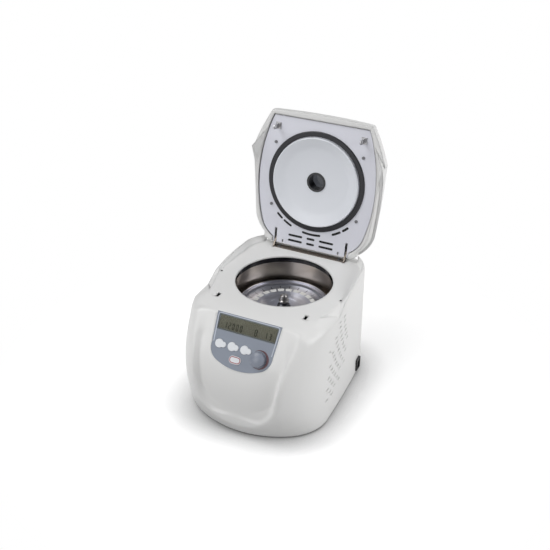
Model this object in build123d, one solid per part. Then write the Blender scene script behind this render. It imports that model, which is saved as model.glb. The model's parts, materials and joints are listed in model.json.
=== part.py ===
"""Bench centrifuge for 24 hematocrit capillaries, lid standing open.

Millimetres, +Z up, front of the machine at -Y. It is drawn round the rotor axis at x = y = 0,
with the bench at z = 0, and moved at the end so that the origin lies under its middle.
The lid is drawn closed and then turned back about its hinge pin.
"""
import math
import os

from build123d import *

# Housing
BODY_HALF = 142.5          # half width over the side walls at the height of the seat
SIDE_DRAFT = 0.012         # outward lean of the side walls, per mm of height
SEAT_Z = 235.0             # flat top that the lid closes on
RIM_Z = 249.0              # top of the rim that rises beside and behind the seat
RIM_T = 4.0
SKIRT_Z = 6.0              # lower edge of the housing above the bench
WALL = 3.0                 # moulded wall
REAR_Y = 150.0             # rear wall behind the rotor axis
SIDE_REAR = 134.5          # half width where the rear corners start
SIDE_REAR_Y = 96.0
REAR_FLAT = 84.0           # half width of the flat part of the rear wall
FRONT_Y = -223.5           # most forward point of the front
FRONT_Z = 95.5             # height of that point
FRONT_R_UP = 150.0         # side-view radius above it, up to the sloped panel
FRONT_R_LOW = 280.0        # side-view radius below it
PANEL_SLOPE = 34.2         # lean of the control panel from upright, degrees
FULLNESS = 0.64            # how far the flanks swell into the front corners
SHOULDER_X = 112.0         # where the seat starts to roll down to the flanks
SHOULDER_R = 38.0
BROW_Y = -118.0            # and to the front
BROW_R = 190.0

# Front tongue, a shallow U-shaped field between the two flanks
TONGUE_HALF_TOP = 104.0    # half width where it meets the seat
TONGUE_TAPER = 0.15        # loss of half width per mm of height
TONGUE_BAND = 8.5          # width of the sloped band round it
TONGUE_DEPTH = 4.6
TONGUE_BOTTOM = 39.0       # outer edge of the band above the bench
TONGUE_FLOOR = 70.0        # inner edge of the band above the bench
TONGUE_BOTTOM_R = 46.0

# Control panel, sizes along its own slope
PANEL_DEPTH = 2.4          # below the tongue
PANEL_HALF = 67.0
PANEL_LENGTH = 103.0
PANEL_TOP = -2.5
PANEL_T = 2.0
PANEL_LEDGE = 2.4
LCD_HALF = 62.5
LCD_TOP = 5.6
LCD_HEIGHT = 30.2
KEY_R = 8.5
KEY_LOBE_R = 5.6
KEY_LOBE_X = 8.6
KEY_PITCH = 26.5
KEY_MID_X = -21.5
KEY_Y = -61.5
KEY_TRAVEL = 0.8
START_X = -8.5
START_Y = -84.5
START_LENGTH = 25.0
START_WIDTH = 15.0
KNOB_X = 36.5
KNOB_Y = -72.0
KNOB_R = 14.5
KNOB_HEIGHT = 13.0
BOARD_DEPTH = 10.0         # face of the display board below the panel face
PCB_T = 1.6

# Seat openings
OPENING_R = 98.0
HOOK_X = 92.7
SLOT_Y = -105.4
SLOT_LENGTH = 15.0
SLOT_WIDTH = 7.0
BUFFER_X = 129.9
BUFFER_Y = -21.4
BUFFER_R = 2.0
AIR_SLOT_LENGTH = 11.0
AIR_SLOT_WIDTH = 2.0
NOTCH_FRONT = (116.0, -98.0)    # notch at each side that takes the lid's ear: its front end,
NOTCH_DEEP = (142.0, -57.0)     # its lowest place, in the side wall,
NOTCH_REAR_Y = -24.0            # and where its floor is level with the seat again
NOTCH_DEPTH = 15.0
RAIL_X = 134.0                  # inner side of the rim beside the notch
RIM_LINE = (                    # top of the rim in side view
    (-57.0, 220.0), (-35.0, 231.5), (-24.0, 237.0), (13.0, 243.5),
    (40.0, 246.3), (80.0, 248.6), (100.0, RIM_Z))
RIM_GAP = 106.0                 # half width of the gap in it for the lid's rear edge

# Lid, drawn closed
LID_GAP = 0.8              # lower edge above the seat
LID_TAPER = 9.0            # inward lean of its walls, degrees
LID_FRONT_Y = -135.0
LID_FRONT_HALF = 107.0
LID_FRONT_BULGE = 3.5
LID_TOP = 266.0
LID_WALL = 3.0
LID_FLANGE = 2.5           # wall turned in round the liner
LID_EDGE_R = 9.0
HINGE_Y = 138.8
HINGE_Z = 248.8
LID_CORNER = (117.0, 128.0)
LID_REAR_R = 13.2          # rear edge of the lid, rolled about the hinge pin
LID_OPEN = 98.7            # degrees
ARM_X = 80.0
ARM_T = 3.0
PIN_R = 3.0
LINER_Z = 238.2            # underside of the sheet liner
LINER_T = 1.0
LINER_GAP = 1.6            # dark gap round the liner
LINER_HALF = 127.5
LINER_FRONT_Y = -125.0
LINER_REAR_Y = 146.5
SEAL_OUT_R = 105.4
SEAL_IN_R = 94.8
PLUG_R = 94.0              # plug that reaches into the opening
PLUG_Z = 230.0
PLUG_FLOOR_R = 66.0
PLUG_T = 2.0
SIGHT_R = 17.4
SCREW_X = 95.3
SCREW_Y = (-68.9, 64.3)
VENT_ARC_R = 114.0
VENT_WIDTH = 5.0

# Rotor chamber
BOWL_R = 104.0
BOWL_T = 1.2
BOWL_FLOOR = 158.0
BOWL_CORNER_R = 18.0
BOWL_RIM_Z = 219.0
BOWL_RIM_R = 118.0
BOWL_HOLE_R = 17.0
BOSS_PCD_R = 112.0
GASKET_IN_R = 98.8

# Rotor
ROTOR_R = 94.0
ROTOR_TOP = 181.0
ROTOR_FLOOR = 174.0
ROTOR_BOTTOM = 169.0
TUBES = 24
TUBE_SLOT_W = 2.2
TUBE_SLOT_D = 2.0
TAB_IN_R = 57.5
TAB_OUT_R = 67.0
TAB_T = 0.6
NUT_R = 7.3
NUT_TOP = 202.0

# Motor
SHAFT_R = 4.0
RUN_FIT = 0.05             # radial running clearance of pins and shafts
CAN_R = 42.0
CAN_WALL = 3.0
CAN_BOTTOM = 68.0
CAN_TOP = 138.0
BELL_T = 8.0
BEARING_R = 11.0
BEARING_W = 7.0
MOUNT_PCD_R = 56.0
PLATE_T = 4.0

# Base
FOOT_R = 13.0
FOOT_X = 98.0
FOOT_Y = (-128.0, 98.0)
BASE_Z = 9.5
BASE_T = 1.5

# Rear panel and mains parts
REAR_HALF = 74.0
REAR_LOW = 20.0
REAR_HIGH = 150.0
REAR_T = 2.0
INLET_X = 42.0
INLET_Z = 52.0
SWITCH_Y = 77.0
SWITCH_Z = 25.0
SWITCH_TALL = 27.0
SWITCH_WIDE = 20.0
ROCKER_SWING = 16.0

CLEAR = 0.3                # general clearance between moving pieces

# Small parts that line up across pieces
ARM_FRONT_Y = 117.5
ARM_REAR_Y = 127.5
HINGE_SCREW_X = 68.0
HINGE_SCREW_Y = (120.3, 126.0)
PIN_HALF = 91.0
KNUCKLE_X = (74.0, 86.0)
BUSH_R = 4.5
HOOK_T = 2.5
HOOK_Y = -103.4
HOOK_LOW = 214.0
BOLT_Y = -103.4
BOLT_Z = 222.0
LINK_Y = -120.0
LOCK_LOW = 212.0
LOCK_TRAVEL = 5.0
SOLENOID_X = 30.0
TACT_HEIGHT = 1.5
BOARD_HALF = 72.0
BOARD_TOP = -7.0           # upper and lower edge, along the panel
BOARD_LOW = -88.0
BOARD_POSTS = ((-68.5, -14.0), (68.5, -14.0), (-60.0, -82.0), (60.0, -82.0))
SCREW_R = 1.5              # common self-tapping screw
SCREW_LENGTH = 8.0
SCREW_HEAD_R = 3.0
SCREW_HEAD_H = 1.9
SOCKET_DEPTH = 17.2        # mains socket
DRIVE_POSTS = ((-57.0, 67.0), (57.0, 67.0), (-57.0, 113.0), (57.0, 113.0))
GASKET_T = 2.5
RELEASE_Y = -100.0
RELEASE_Z = 167.0
REAR_SCREW_X = 78.0
REAR_SCREW_Z = (22.0, 146.0)

slope = math.radians(PANEL_SLOPE)
nodes = {}


def corners(x, y):
    """Four places mirrored across both middle planes."""
    return [(sx * x, sy * y) for sx in (-1, 1) for sy in (-1, 1)]


def foot_places():
    """Middles of the four feet."""
    return [(side * FOOT_X, y) for side in (-1, 1) for y in FOOT_Y]


def pillar_places():
    """Middles of the three motor posts."""
    angles = [math.radians(270 + 120 * i) for i in range(3)]
    return [(MOUNT_PCD_R * math.cos(a), MOUNT_PCD_R * math.sin(a)) for a in angles]


def bowl_screw_places():
    """Middles of the four screws in the bowl rim."""
    reach = BOSS_PCD_R * math.sqrt(0.5)
    return corners(reach, reach)


def block(x0, x1, y0, y1, z0, z1):
    """Box between two corners."""
    middle = Pos((x0 + x1) / 2, (y0 + y1) / 2, (z0 + z1) / 2)
    return middle * Box(x1 - x0, y1 - y0, z1 - z0)


def disc(radius, z0, z1, x=0.0, y=0.0):
    """Upright cylinder."""
    return Pos(x, y, (z0 + z1) / 2) * Cylinder(radius, z1 - z0)


def ring(outer, inner, z0, z1, x=0.0, y=0.0):
    """Upright tube."""
    return disc(outer, z0, z1, x, y) - disc(inner, z0 - 1, z1 + 1, x, y)


def turned(points):
    """Solid of revolution about the rotor axis from a closed outline of (radius, z) points."""
    return revolve(Plane.XZ * make_face(Polyline(*points, close=True)), Axis.Z)


def cross(radius, x0, x1, y, z):
    """Cylinder lying along X."""
    return Pos((x0 + x1) / 2, y, z) * Rot(0, 90, 0) * Cylinder(radius, x1 - x0)


def both_sides(shape):
    """The shape and its mirror image across the middle plane."""
    return [shape, mirror(shape, Plane.YZ)]


def together(shapes):
    """Separate solids held in one node."""
    solids = [solid for shape in shapes for solid in shape.solids()]
    return Compound(solids)


def case_screw():
    """Pan-head screw pointing up, underside of its head at z = 0."""
    return disc(SCREW_HEAD_R, -SCREW_HEAD_H, 0) + disc(SCREW_R, -0.5, SCREW_LENGTH)


def flat_prism(points, x0, x1):
    """Side-view outline of (y, z) points pushed along X from x0 to x1."""
    face = Plane.YZ * make_face(Polyline(*points, close=True))
    return Pos(x0, 0, 0) * extrude(face, x1 - x0)


# Housing form: one plan section per height, all worked out from the same few curves
def front_line(z):
    """Forward reach of the front at height z on the middle plane."""
    tangent_z = FRONT_Z + FRONT_R_UP * math.sin(slope)
    if z < FRONT_Z:
        return FRONT_Y + FRONT_R_LOW - math.sqrt(FRONT_R_LOW ** 2 - (z - FRONT_Z) ** 2)
    if z < tangent_z:
        return FRONT_Y + FRONT_R_UP - math.sqrt(FRONT_R_UP ** 2 - (z - FRONT_Z) ** 2)
    tangent_y = FRONT_Y + FRONT_R_UP * (1 - math.cos(slope))
    return tangent_y + (z - tangent_z) * math.tan(slope)


def tongue_half(z):
    """Half width of the tongue at height z."""
    return TONGUE_HALF_TOP - TONGUE_TAPER * (SEAT_Z - 10 - z)


def plan_section(z, inset=0.0, front_inset=0.0):
    """Plan outline of the housing at height z, drawn in by the insets."""
    fall = max(0.0, (SEAT_Z - z) / SEAT_Z)
    widen = SIDE_DRAFT * (SEAT_Z - z) - inset
    sag = 2 + 12 * fall
    apex = front_line(z) + front_inset / math.cos(slope)
    corner_x = tongue_half(z) - inset
    corner_y = apex + sag
    side_x = BODY_HALF + widen
    side_y = -72 - 30 * fall
    rear_x = SIDE_REAR + widen
    rear_y = SIDE_REAR_Y - inset
    back_y = REAR_Y - inset
    meet_y = corner_y + 2 * sag / corner_x * (side_x - corner_x)
    side_r = ((side_x - rear_x) ** 2 + (rear_y - side_y) ** 2) / (2 * (side_x - rear_x))
    turn = math.asin((rear_y - side_y) / side_r)
    mid_x = side_x - side_r * (1 - math.cos(turn / 2))
    mid_y = side_y + side_r * math.sin(turn / 2)
    reach = (back_y - rear_y) * 0.5
    flank = [
        (corner_x, corner_y, z),
        (corner_x + FULLNESS * (side_x - corner_x), corner_y + FULLNESS * (meet_y - corner_y), z),
        (side_x, side_y + FULLNESS * (meet_y - side_y), z),
        (side_x, side_y, z),
    ]
    rear = [
        (rear_x, rear_y, z),
        (rear_x - reach * math.sin(turn), rear_y + reach * math.cos(turn), z),
        (REAR_FLAT + 0.3 * (rear_x - REAR_FLAT), back_y, z),
        (REAR_FLAT, back_y, z),
    ]
    side = ThreePointArc((side_x, side_y, z), (mid_x, mid_y, z), (rear_x, rear_y, z))
    right = [Bezier(*flank), side, Bezier(*rear)]
    left = [mirror(edge, Plane.YZ) for edge in right]
    front = ThreePointArc((-corner_x, corner_y, z), (0, apex, z), (corner_x, corner_y, z))
    back = Line((REAR_FLAT, back_y, z), (-REAR_FLAT, back_y, z))
    return make_face(Wire([edge.edge() for edge in [front, back] + right + left]))


def housing_form(inset, front_inset, bottom, top):
    """Solid housing form between two heights."""
    steps = 8
    heights = [bottom + (top - bottom) * i / steps for i in range(steps + 1)]
    return loft([plan_section(z, inset, front_inset) for z in heights])


def rim_form(low):
    """Upper end of the housing form, its outer edge rounded in steps up to the rim."""
    rise = RIM_Z - low
    steps = ((0.0, 0.0), (0.45, 0.5), (0.82, 1.8), (1.0, 3.8))
    return loft([plan_section(low + rise * up, inset) for up, inset in steps], ruled=True)


def seat_pocket(lift, side):
    """What is cleared above the seat: inside the rim, across the front and between the rear corners."""
    top = RIM_Z + 4
    low = SEAT_Z + lift
    steps = ((low, RIM_T + 4 + side), (low + 5, RIM_T + 1 + side), (top, RIM_T + side))
    well = loft([plan_section(z, inset) for z, inset in steps], ruled=True)
    front = block(-200, 200, -300, NOTCH_DEEP[1], low, top)
    behind = block(-RIM_GAP + side, RIM_GAP - side, 60, 200, low, top)
    return [well, front, behind]


def above_rim(lift):
    """Everything above the sloping top of the rim beside the seat."""
    line = [(y, z + lift) for y, z in RIM_LINE if y >= NOTCH_REAR_Y]
    ceiling = RIM_Z + 30
    outline = line + [(200, line[-1][1]), (200, ceiling), (line[0][0], ceiling)]
    return both_sides(flat_prism(outline, RIM_GAP, 200))


def rail(lift, side):
    """End of the rim that runs down beside the notch."""
    line = [(y, z + lift) for y, z in RIM_LINE if y <= NOTCH_REAR_Y]
    outline = line + [(NOTCH_REAR_Y + 5, line[-1][1]), (NOTCH_REAR_Y + 5, 150), (line[0][0] - 1, 150)]
    return flat_prism(outline, RAIL_X - side, 200)


def notch_space(lift, side):
    """Room over the sloping floor of the right-hand notch."""
    front_x, front_y = NOTCH_FRONT
    deep_x, deep_y = NOTCH_DEEP
    along = Vector(deep_x - front_x, deep_y - front_y).normalized()
    shift = Vector(-along.Y, along.X) * side
    near = Vector(front_x, front_y) + shift
    far = Vector(deep_x, deep_y) + along * 12 + shift
    outline = Polyline(
        (near.X, near.Y), (far.X, far.Y), (far.X, NOTCH_REAR_Y), (RAIL_X, NOTCH_REAR_Y), close=True)
    edge = Vector(RAIL_X - front_x, NOTCH_REAR_Y - front_y, 0)
    fall = Vector(deep_x - front_x, deep_y - front_y, -NOTCH_DEPTH)
    floor = Plane(
        origin=(front_x, front_y, SEAT_Z + lift),
        x_dir=edge.normalized(), z_dir=fall.cross(edge).normalized())
    above = floor * Box(400, 400, 80, align=(Align.CENTER, Align.CENTER, Align.MIN))
    column = Pos(0, 0, SEAT_Z - 40) * extrude(make_face(outline), 60)
    return column & above


def rolled_shoulders(depth):
    """What is taken off where the seat rolls down to the flanks and to the front."""
    front_x, front_y = NOTCH_FRONT
    lean = (NOTCH_DEEP[1] - front_y) / (NOTCH_DEEP[0] - front_x)
    field = Polyline(
        (SHOULDER_X, -300), (200, -300), (200, front_y + lean * (200 - front_x)),
        (SHOULDER_X, front_y + lean * (SHOULDER_X - front_x)), close=True)
    low = SEAT_Z - SHOULDER_R
    side = Pos(0, 0, low) * extrude(make_face(field), SHOULDER_R + 20)
    side = side - Pos(SHOULDER_X, -200, low) * Rot(90, 0, 0) * Cylinder(SHOULDER_R - depth, 400)
    brow = block(-200, 200, -300, BROW_Y, SEAT_Z - 60, RIM_Z + 4)
    return both_sides(side) + [brow - cross(BROW_R - depth, -201, 201, BROW_Y, SEAT_Z - BROW_R)]


def tongue_section(z):
    """Plan section of the cutter that sinks the tongue, open to the front."""
    fall = (SEAT_Z - z) / SEAT_Z
    apex = front_line(z)
    sag = 2 + 12 * fall
    arc_r = (tongue_half(z) ** 2 + sag ** 2) / (2 * sag)

    def skin(x):
        return apex + arc_r - math.sqrt(arc_r ** 2 - x ** 2)

    def rounded(half, bottom, radius):
        below = min(max(bottom + radius - z, 0.0), radius)
        return half - radius + math.sqrt(radius ** 2 - below ** 2)

    left = max(0.0, (TONGUE_FLOOR - z) / (TONGUE_FLOOR - TONGUE_BOTTOM))
    sunk = TONGUE_DEPTH * (1 - left ** 2)
    outer = rounded(tongue_half(z) - 1.0, TONGUE_BOTTOM, TONGUE_BOTTOM_R)
    inner = rounded(tongue_half(z) - 1.0 - TONGUE_BAND, TONGUE_FLOOR, TONGUE_BOTTOM_R - TONGUE_BAND)
    inner = inner - max(0.0, TONGUE_FLOOR - z) * 0.5
    inner_y = skin(inner) + sunk / math.cos(slope)
    lean = (skin(outer) - inner_y) / (outer - inner)
    far = outer + 12
    far_y = inner_y + lean * (far - inner) - 1
    ahead = apex - 30
    edges = [
        ThreePointArc((-inner, inner_y, z), (0, apex + sunk / math.cos(slope), z), (inner, inner_y, z)),
        Line((inner, inner_y, z), (far, far_y, z)),
        Line((far, far_y, z), (far, ahead, z)),
        Line((far, ahead, z), (-far, ahead, z)),
        Line((-far, ahead, z), (-far, far_y, z)),
        Line((-far, far_y, z), (-inner, inner_y, z)),
    ]
    return make_face(Wire(edges))


def tongue_cutter():
    """What is taken from the front to leave the tongue sunk between its sloped bands."""
    steps = 15
    low, high = TONGUE_BOTTOM - 9, SEAT_Z + 5
    return loft([tongue_section(low + (high - low) * i / steps) for i in range(steps + 1)])


def panel_plane(depth=0.0):
    """Plane of the control panel, X to the right and Y up the slope; depth goes inwards."""
    top_y = front_line(SEAT_Z) + (TONGUE_DEPTH + PANEL_DEPTH) / math.cos(slope)
    return Plane(
        origin=(0, top_y + depth * math.cos(slope), SEAT_Z - depth * math.sin(slope)),
        x_dir=(1, 0, 0),
        z_dir=(0, -math.cos(slope), math.sin(slope)),
    )


def panel_outline(grow=0.0):
    """Face of the control panel: straight top, sides drawn in, rounded bottom."""
    half = PANEL_HALF + grow
    low_half = PANEL_HALF - 3.2 + grow
    knee = -63.0
    foot = (46.0 + grow / 2, -PANEL_LENGTH + 10 - grow)
    turn = (PANEL_HALF - 9.5 + grow * 0.7, -PANEL_LENGTH + 19 - grow * 0.7)
    sides = Polyline((-low_half, knee), (-half, PANEL_TOP + grow), (half, PANEL_TOP + grow), (low_half, knee))
    right = ThreePointArc((low_half, knee), turn, foot)
    bottom = ThreePointArc(foot, (0, -PANEL_LENGTH - grow), (-foot[0], foot[1]))
    return make_face(Wire([e for part in (sides, right, bottom, mirror(right, Plane.YZ)) for e in part.edges()]))


def on_panel(sketch, depth, height, x=0.0, y=0.0):
    """Sketch pushed outwards by height from a plane depth below the panel face."""
    return extrude(panel_plane(depth) * Pos(x, y) * sketch, height)


# Lid outline, shared by the lid, its ears and the notches they drop into
def lid_outline(inset=0.0):
    """Plan outline of the closed lid: straight front, splayed sides, then flush with the housing."""
    front_x = LID_FRONT_HALF - inset * 0.7
    front_y = LID_FRONT_Y + inset
    side_x = BODY_HALF - 0.4 - inset
    side_y = NOTCH_DEEP[1] - 3
    bend = Vector(side_x - front_x, side_y - front_y)
    splay_x = (front_x + side_x) / 2 + 2 * bend.Y / bend.length
    splay_y = (front_y + side_y) / 2 - 2 * bend.X / bend.length
    rear_x = SIDE_REAR - 0.4 - inset
    rear_y = SIDE_REAR_Y - inset
    corner = (LID_CORNER[0] - inset * 0.7, LID_CORNER[1] - inset * 0.7)
    back = (76.0, HINGE_Y + LID_REAR_R - inset)
    right = [
        ThreePointArc((front_x, front_y), (splay_x, splay_y), (side_x, side_y)),
        ThreePointArc((side_x, side_y), ((side_x + rear_x) / 2 + 1.9, (side_y + rear_y) / 2), (rear_x, rear_y)),
        ThreePointArc((rear_x, rear_y), corner, back),
    ]
    left = [mirror(edge, Plane.YZ) for edge in right]
    front = ThreePointArc((-front_x, front_y), (0, front_y - LID_FRONT_BULGE), (front_x, front_y))
    rear = Line(back, (-back[0], back[1]))
    return make_face(Wire([front.edge(), rear.edge()] + [e.edge() for e in right + left]))


def lid_block(inset, top_drop, bottom, edge_round):
    """Closed lid as a solid: upright rim, walls leaning in above it, crowned top and rolled rear edge."""
    face = lid_outline(inset)
    body = Pos(0, 0, bottom) * extrude(face, RIM_Z + 1 - bottom)
    body = body + Pos(0, 0, RIM_Z + 1) * extrude(face, LID_TOP + 3 - RIM_Z, taper=LID_TAPER)
    crown_r = 2600.0
    dome = Pos(0, 0, LID_TOP - top_drop - crown_r) * Sphere(crown_r)
    body = body & dome
    behind = block(-200, 200, HINGE_Y, HINGE_Y + 40, bottom - 1, LID_TOP + 10)
    body = body - (behind - cross(LID_REAR_R - inset, -201, 201, HINGE_Y, HINGE_Z))
    if edge_round > 0:
        rim = [
            e for e in body.edges()
            if e.center().Z > RIM_Z + 6 and e.center().Y < HINGE_Y - 2
        ]
        body = fillet(rim, edge_round)
    return body


def closing_form(lift, side):
    """Everything that the closed lid stays above: the seat with its notches and the rim."""
    form = block(-200, 200, -300, 300, 150, RIM_Z + lift)
    notches = both_sides(notch_space(lift, side) - rail(lift, side))
    for cut in seat_pocket(lift, side) + above_rim(lift) + notches:
        form = form - cut
    return form


def slots_of_side():
    """Cutters of the right-hand air slots: rows in a slanted crescent."""
    cutters = []
    rows = 13
    for row in range(rows):
        share = row / (rows - 1)
        z = 58 + 148 * share
        first = -108 + 56 * share ** 2.2
        count = 1 + round(3.2 * math.sin(math.pi * min(1.0, 0.12 + share * 0.8)))
        for i in range(count):
            y = first + 24 * i + 12 * (row % 2)
            slot = extrude(Plane.YZ * SlotOverall(AIR_SLOT_LENGTH, AIR_SLOT_WIDTH), 30)
            cutters.append(Pos(BODY_HALF - 24, y, z) * slot)
    return cutters


# Housing: one moulding with the seat, the flanks and the recessed tongue and panel
def casing_bosses():
    """Bosses for the bowl, the display board and the base screws, with their webs."""
    parts = []
    for x, y in bowl_screw_places():
        parts.append(disc(5, BOWL_RIM_Z + BOWL_T, SEAT_Z - WALL + 0.5, x, y))
    for y in FOOT_Y:
        for side in (-1, 1):
            x = side * FOOT_X
            parts.append(disc(7, BASE_Z + BASE_T, 42, x, y))
            wall_x = side * BODY_HALF
            low_x, high_x = sorted((x, wall_x))
            parts.append(block(low_x, high_x, y - 1.5, y + 1.5, BASE_Z + BASE_T, 40))
    for x, y in BOARD_POSTS:
        parts.append(on_panel(Circle(3.2), BOARD_DEPTH, BOARD_DEPTH - PANEL_T - 1, x, y))
    return parts


def make_casing():
    """Main moulding with its recesses, openings, bosses and air slots."""
    shoulder_z = RIM_Z - 11
    outer = housing_form(0, 0, SKIRT_Z, shoulder_z) + rim_form(shoulder_z)
    for cut in seat_pocket(0, 0) + rolled_shoulders(0):
        outer = outer - cut
    for cut in above_rim(0) + both_sides(notch_space(0, 0) - rail(0, 0)):
        outer = outer - cut
    front_wall = TONGUE_DEPTH + PANEL_DEPTH + PANEL_T + WALL
    inner = housing_form(WALL, front_wall, SKIRT_Z - 1, SEAT_Z - WALL)
    for cut in rolled_shoulders(WALL) + both_sides(notch_space(-WALL * 1.3, -WALL)):
        inner = inner - cut
    casing = outer - inner
    casing = casing - tongue_cutter()
    bosses = [boss & outer for boss in casing_bosses()]
    for boss in bosses:
        casing = casing + boss

    recess = loft([panel_plane(0) * panel_outline(0.5), panel_plane(-5) * panel_outline(14)])
    seat_for_panel = on_panel(panel_outline(0.15), PANEL_T, PANEL_T + 1)
    window = on_panel(panel_outline(-PANEL_LEDGE), PANEL_T + WALL + 6, WALL + 8)
    casing = casing - recess - seat_for_panel - window

    cutters = [disc(OPENING_R, SEAT_Z - 10, SEAT_Z + 5)]
    half_slot = SLOT_LENGTH / 2
    for side in (-1, 1):
        x = side * HOOK_X
        half = SLOT_WIDTH / 2
        cutters.append(block(x - half, x + half, SLOT_Y - half_slot, SLOT_Y + half_slot,
                             SEAT_Z - 10, SEAT_Z + 5))
        x = side * ARM_X
        half = ARM_T / 2 + 0.6
        cutters.append(block(x - half, x + half, ARM_FRONT_Y - 0.6, ARM_REAR_Y + 0.6,
                             SEAT_Z - 10, SEAT_Z + 5))
        cutters.append(disc(BUFFER_R + RUN_FIT, SEAT_Z - 10, SEAT_Z + 5, side * BUFFER_X, BUFFER_Y))
        for y in HINGE_SCREW_Y:
            cutters.append(disc(1.6, SEAT_Z - 10, SEAT_Z + 5, side * HINGE_SCREW_X, y))
        for y in FOOT_Y:
            cutters.append(disc(1.9, 0, 36, side * FOOT_X, y))
        for z in REAR_SCREW_Z:
            hole = Pos(side * REAR_SCREW_X, REAR_Y, z) * Rot(90, 0, 0) * Cylinder(1.9, 20)
            cutters.append(hole)
    for x, y in bowl_screw_places():
        cutters.append(disc(1.6, BOWL_RIM_Z, SEAT_Z - WALL - 2, x, y))
    for x, y in BOARD_POSTS:
        reach = SCREW_LENGTH - PCB_T + 0.2
        cutters.append(on_panel(Circle(SCREW_R + 0.05), BOARD_DEPTH, reach, x, y))
    cutters.append(block(-REAR_HALF, REAR_HALF, REAR_Y - 10, REAR_Y + 5, REAR_LOW, REAR_HIGH))
    cutters.append(block(BODY_HALF - 10, BODY_HALF + 6, SWITCH_Y - SWITCH_WIDE / 2 - 0.1,
                         SWITCH_Y + SWITCH_WIDE / 2 + 0.1, SWITCH_Z - SWITCH_TALL / 2 - 0.1,
                         SWITCH_Z + SWITCH_TALL / 2 + 0.1))
    cutters.append(cross(2.0, BODY_HALF - 30, BODY_HALF + 20, RELEASE_Y, RELEASE_Z))
    for slot in slots_of_side():
        cutters.extend(both_sides(slot))
    return casing.cut(*[solid for cutter in cutters for solid in cutter.solids()])


def make_base():
    """Steel base plate with its rubber feet and the screws that hold both to the housing."""
    plate = extrude(plan_section(BASE_Z, WALL + CLEAR, WALL + 10 + CLEAR), BASE_T)
    for x, y in foot_places():
        plate = plate - disc(2.4, 0, 20, x, y)
    for x, y in pillar_places():
        plate = plate - disc(2.6, 0, 20, x, y)
    top = BASE_Z + BASE_T
    for x, y in DRIVE_POSTS:
        plate = plate + disc(3, top - 0.5, top + 8, x, y) + disc(1.5, top + 7, top + 12, x, y)
    nodes["base_plate"] = plate
    feet, screws = [], []
    for x, y in foot_places():
        pad = Pos(x, y, 0) * Cone(FOOT_R - 2, FOOT_R, BASE_Z, align=(Align.CENTER, Align.CENTER, Align.MIN))
        feet.append(pad - disc(2.4, -1, 20, x, y) - disc(5.0, -1, 4, x, y))
        screws.append(disc(4.2, 1.4, 4, x, y) + disc(1.8, 3, 34, x, y))
    nodes["feet"] = together(feet)
    nodes["foot_screws"] = together(screws)


# Rotor chamber
def make_chamber():
    """Deep-drawn steel bowl, its rubber lip, its screws and the boot round the shaft."""
    wall = BOWL_T
    bowl = turned([
        (BOWL_HOLE_R, BOWL_FLOOR), (BOWL_R - BOWL_CORNER_R, BOWL_FLOOR),
        (BOWL_R + wall, BOWL_FLOOR), (BOWL_R + wall, BOWL_RIM_Z), (BOWL_RIM_R, BOWL_RIM_Z),
        (BOWL_RIM_R, BOWL_RIM_Z + wall), (BOWL_HOLE_R, BOWL_RIM_Z + wall)])
    outer_corner = bowl.edges().filter_by(GeomType.CIRCLE).filter_by(
        lambda e: abs(e.center().Z - BOWL_FLOOR) < 0.01 and e.radius > BOWL_R)
    bowl = fillet(outer_corner, BOWL_CORNER_R + wall)
    hollow = disc(BOWL_R, BOWL_FLOOR + wall, BOWL_RIM_Z + 5)
    low_edge = hollow.edges().filter_by(GeomType.CIRCLE).sort_by(Axis.Z)[0]
    hollow = fillet(low_edge, BOWL_CORNER_R)
    bowl = bowl - hollow - disc(BOWL_HOLE_R, BOWL_FLOOR - 5, BOWL_FLOOR + 5)
    for x, y in bowl_screw_places():
        bowl = bowl - disc(1.9, BOWL_RIM_Z - 5, BOWL_RIM_Z + 5, x, y)
    nodes["rotor_bowl"] = bowl
    lip_r = BOWL_R + 1.5
    nodes["bowl_gasket"] = turned([
        (GASKET_IN_R, SEAT_Z - WALL), (GASKET_IN_R, BOWL_RIM_Z + 3), (GASKET_IN_R + 1.5, BOWL_RIM_Z + wall),
        (lip_r, BOWL_RIM_Z + wall), (lip_r, SEAT_Z - WALL)])
    nodes["shaft_boot"] = turned([
        (BOWL_HOLE_R + 6, BOWL_FLOOR - 2), (BOWL_HOLE_R + 6, BOWL_FLOOR), (BOWL_HOLE_R, BOWL_FLOOR),
        (BOWL_HOLE_R - 0.3, BOWL_FLOOR + 3), (SHAFT_R + 3, BOWL_FLOOR + 3), (SHAFT_R + 3, BOWL_FLOOR + 1),
        (BOWL_HOLE_R - 2.5, BOWL_FLOOR + 1), (BOWL_HOLE_R - 2.5, BOWL_FLOOR - 2)])


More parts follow.
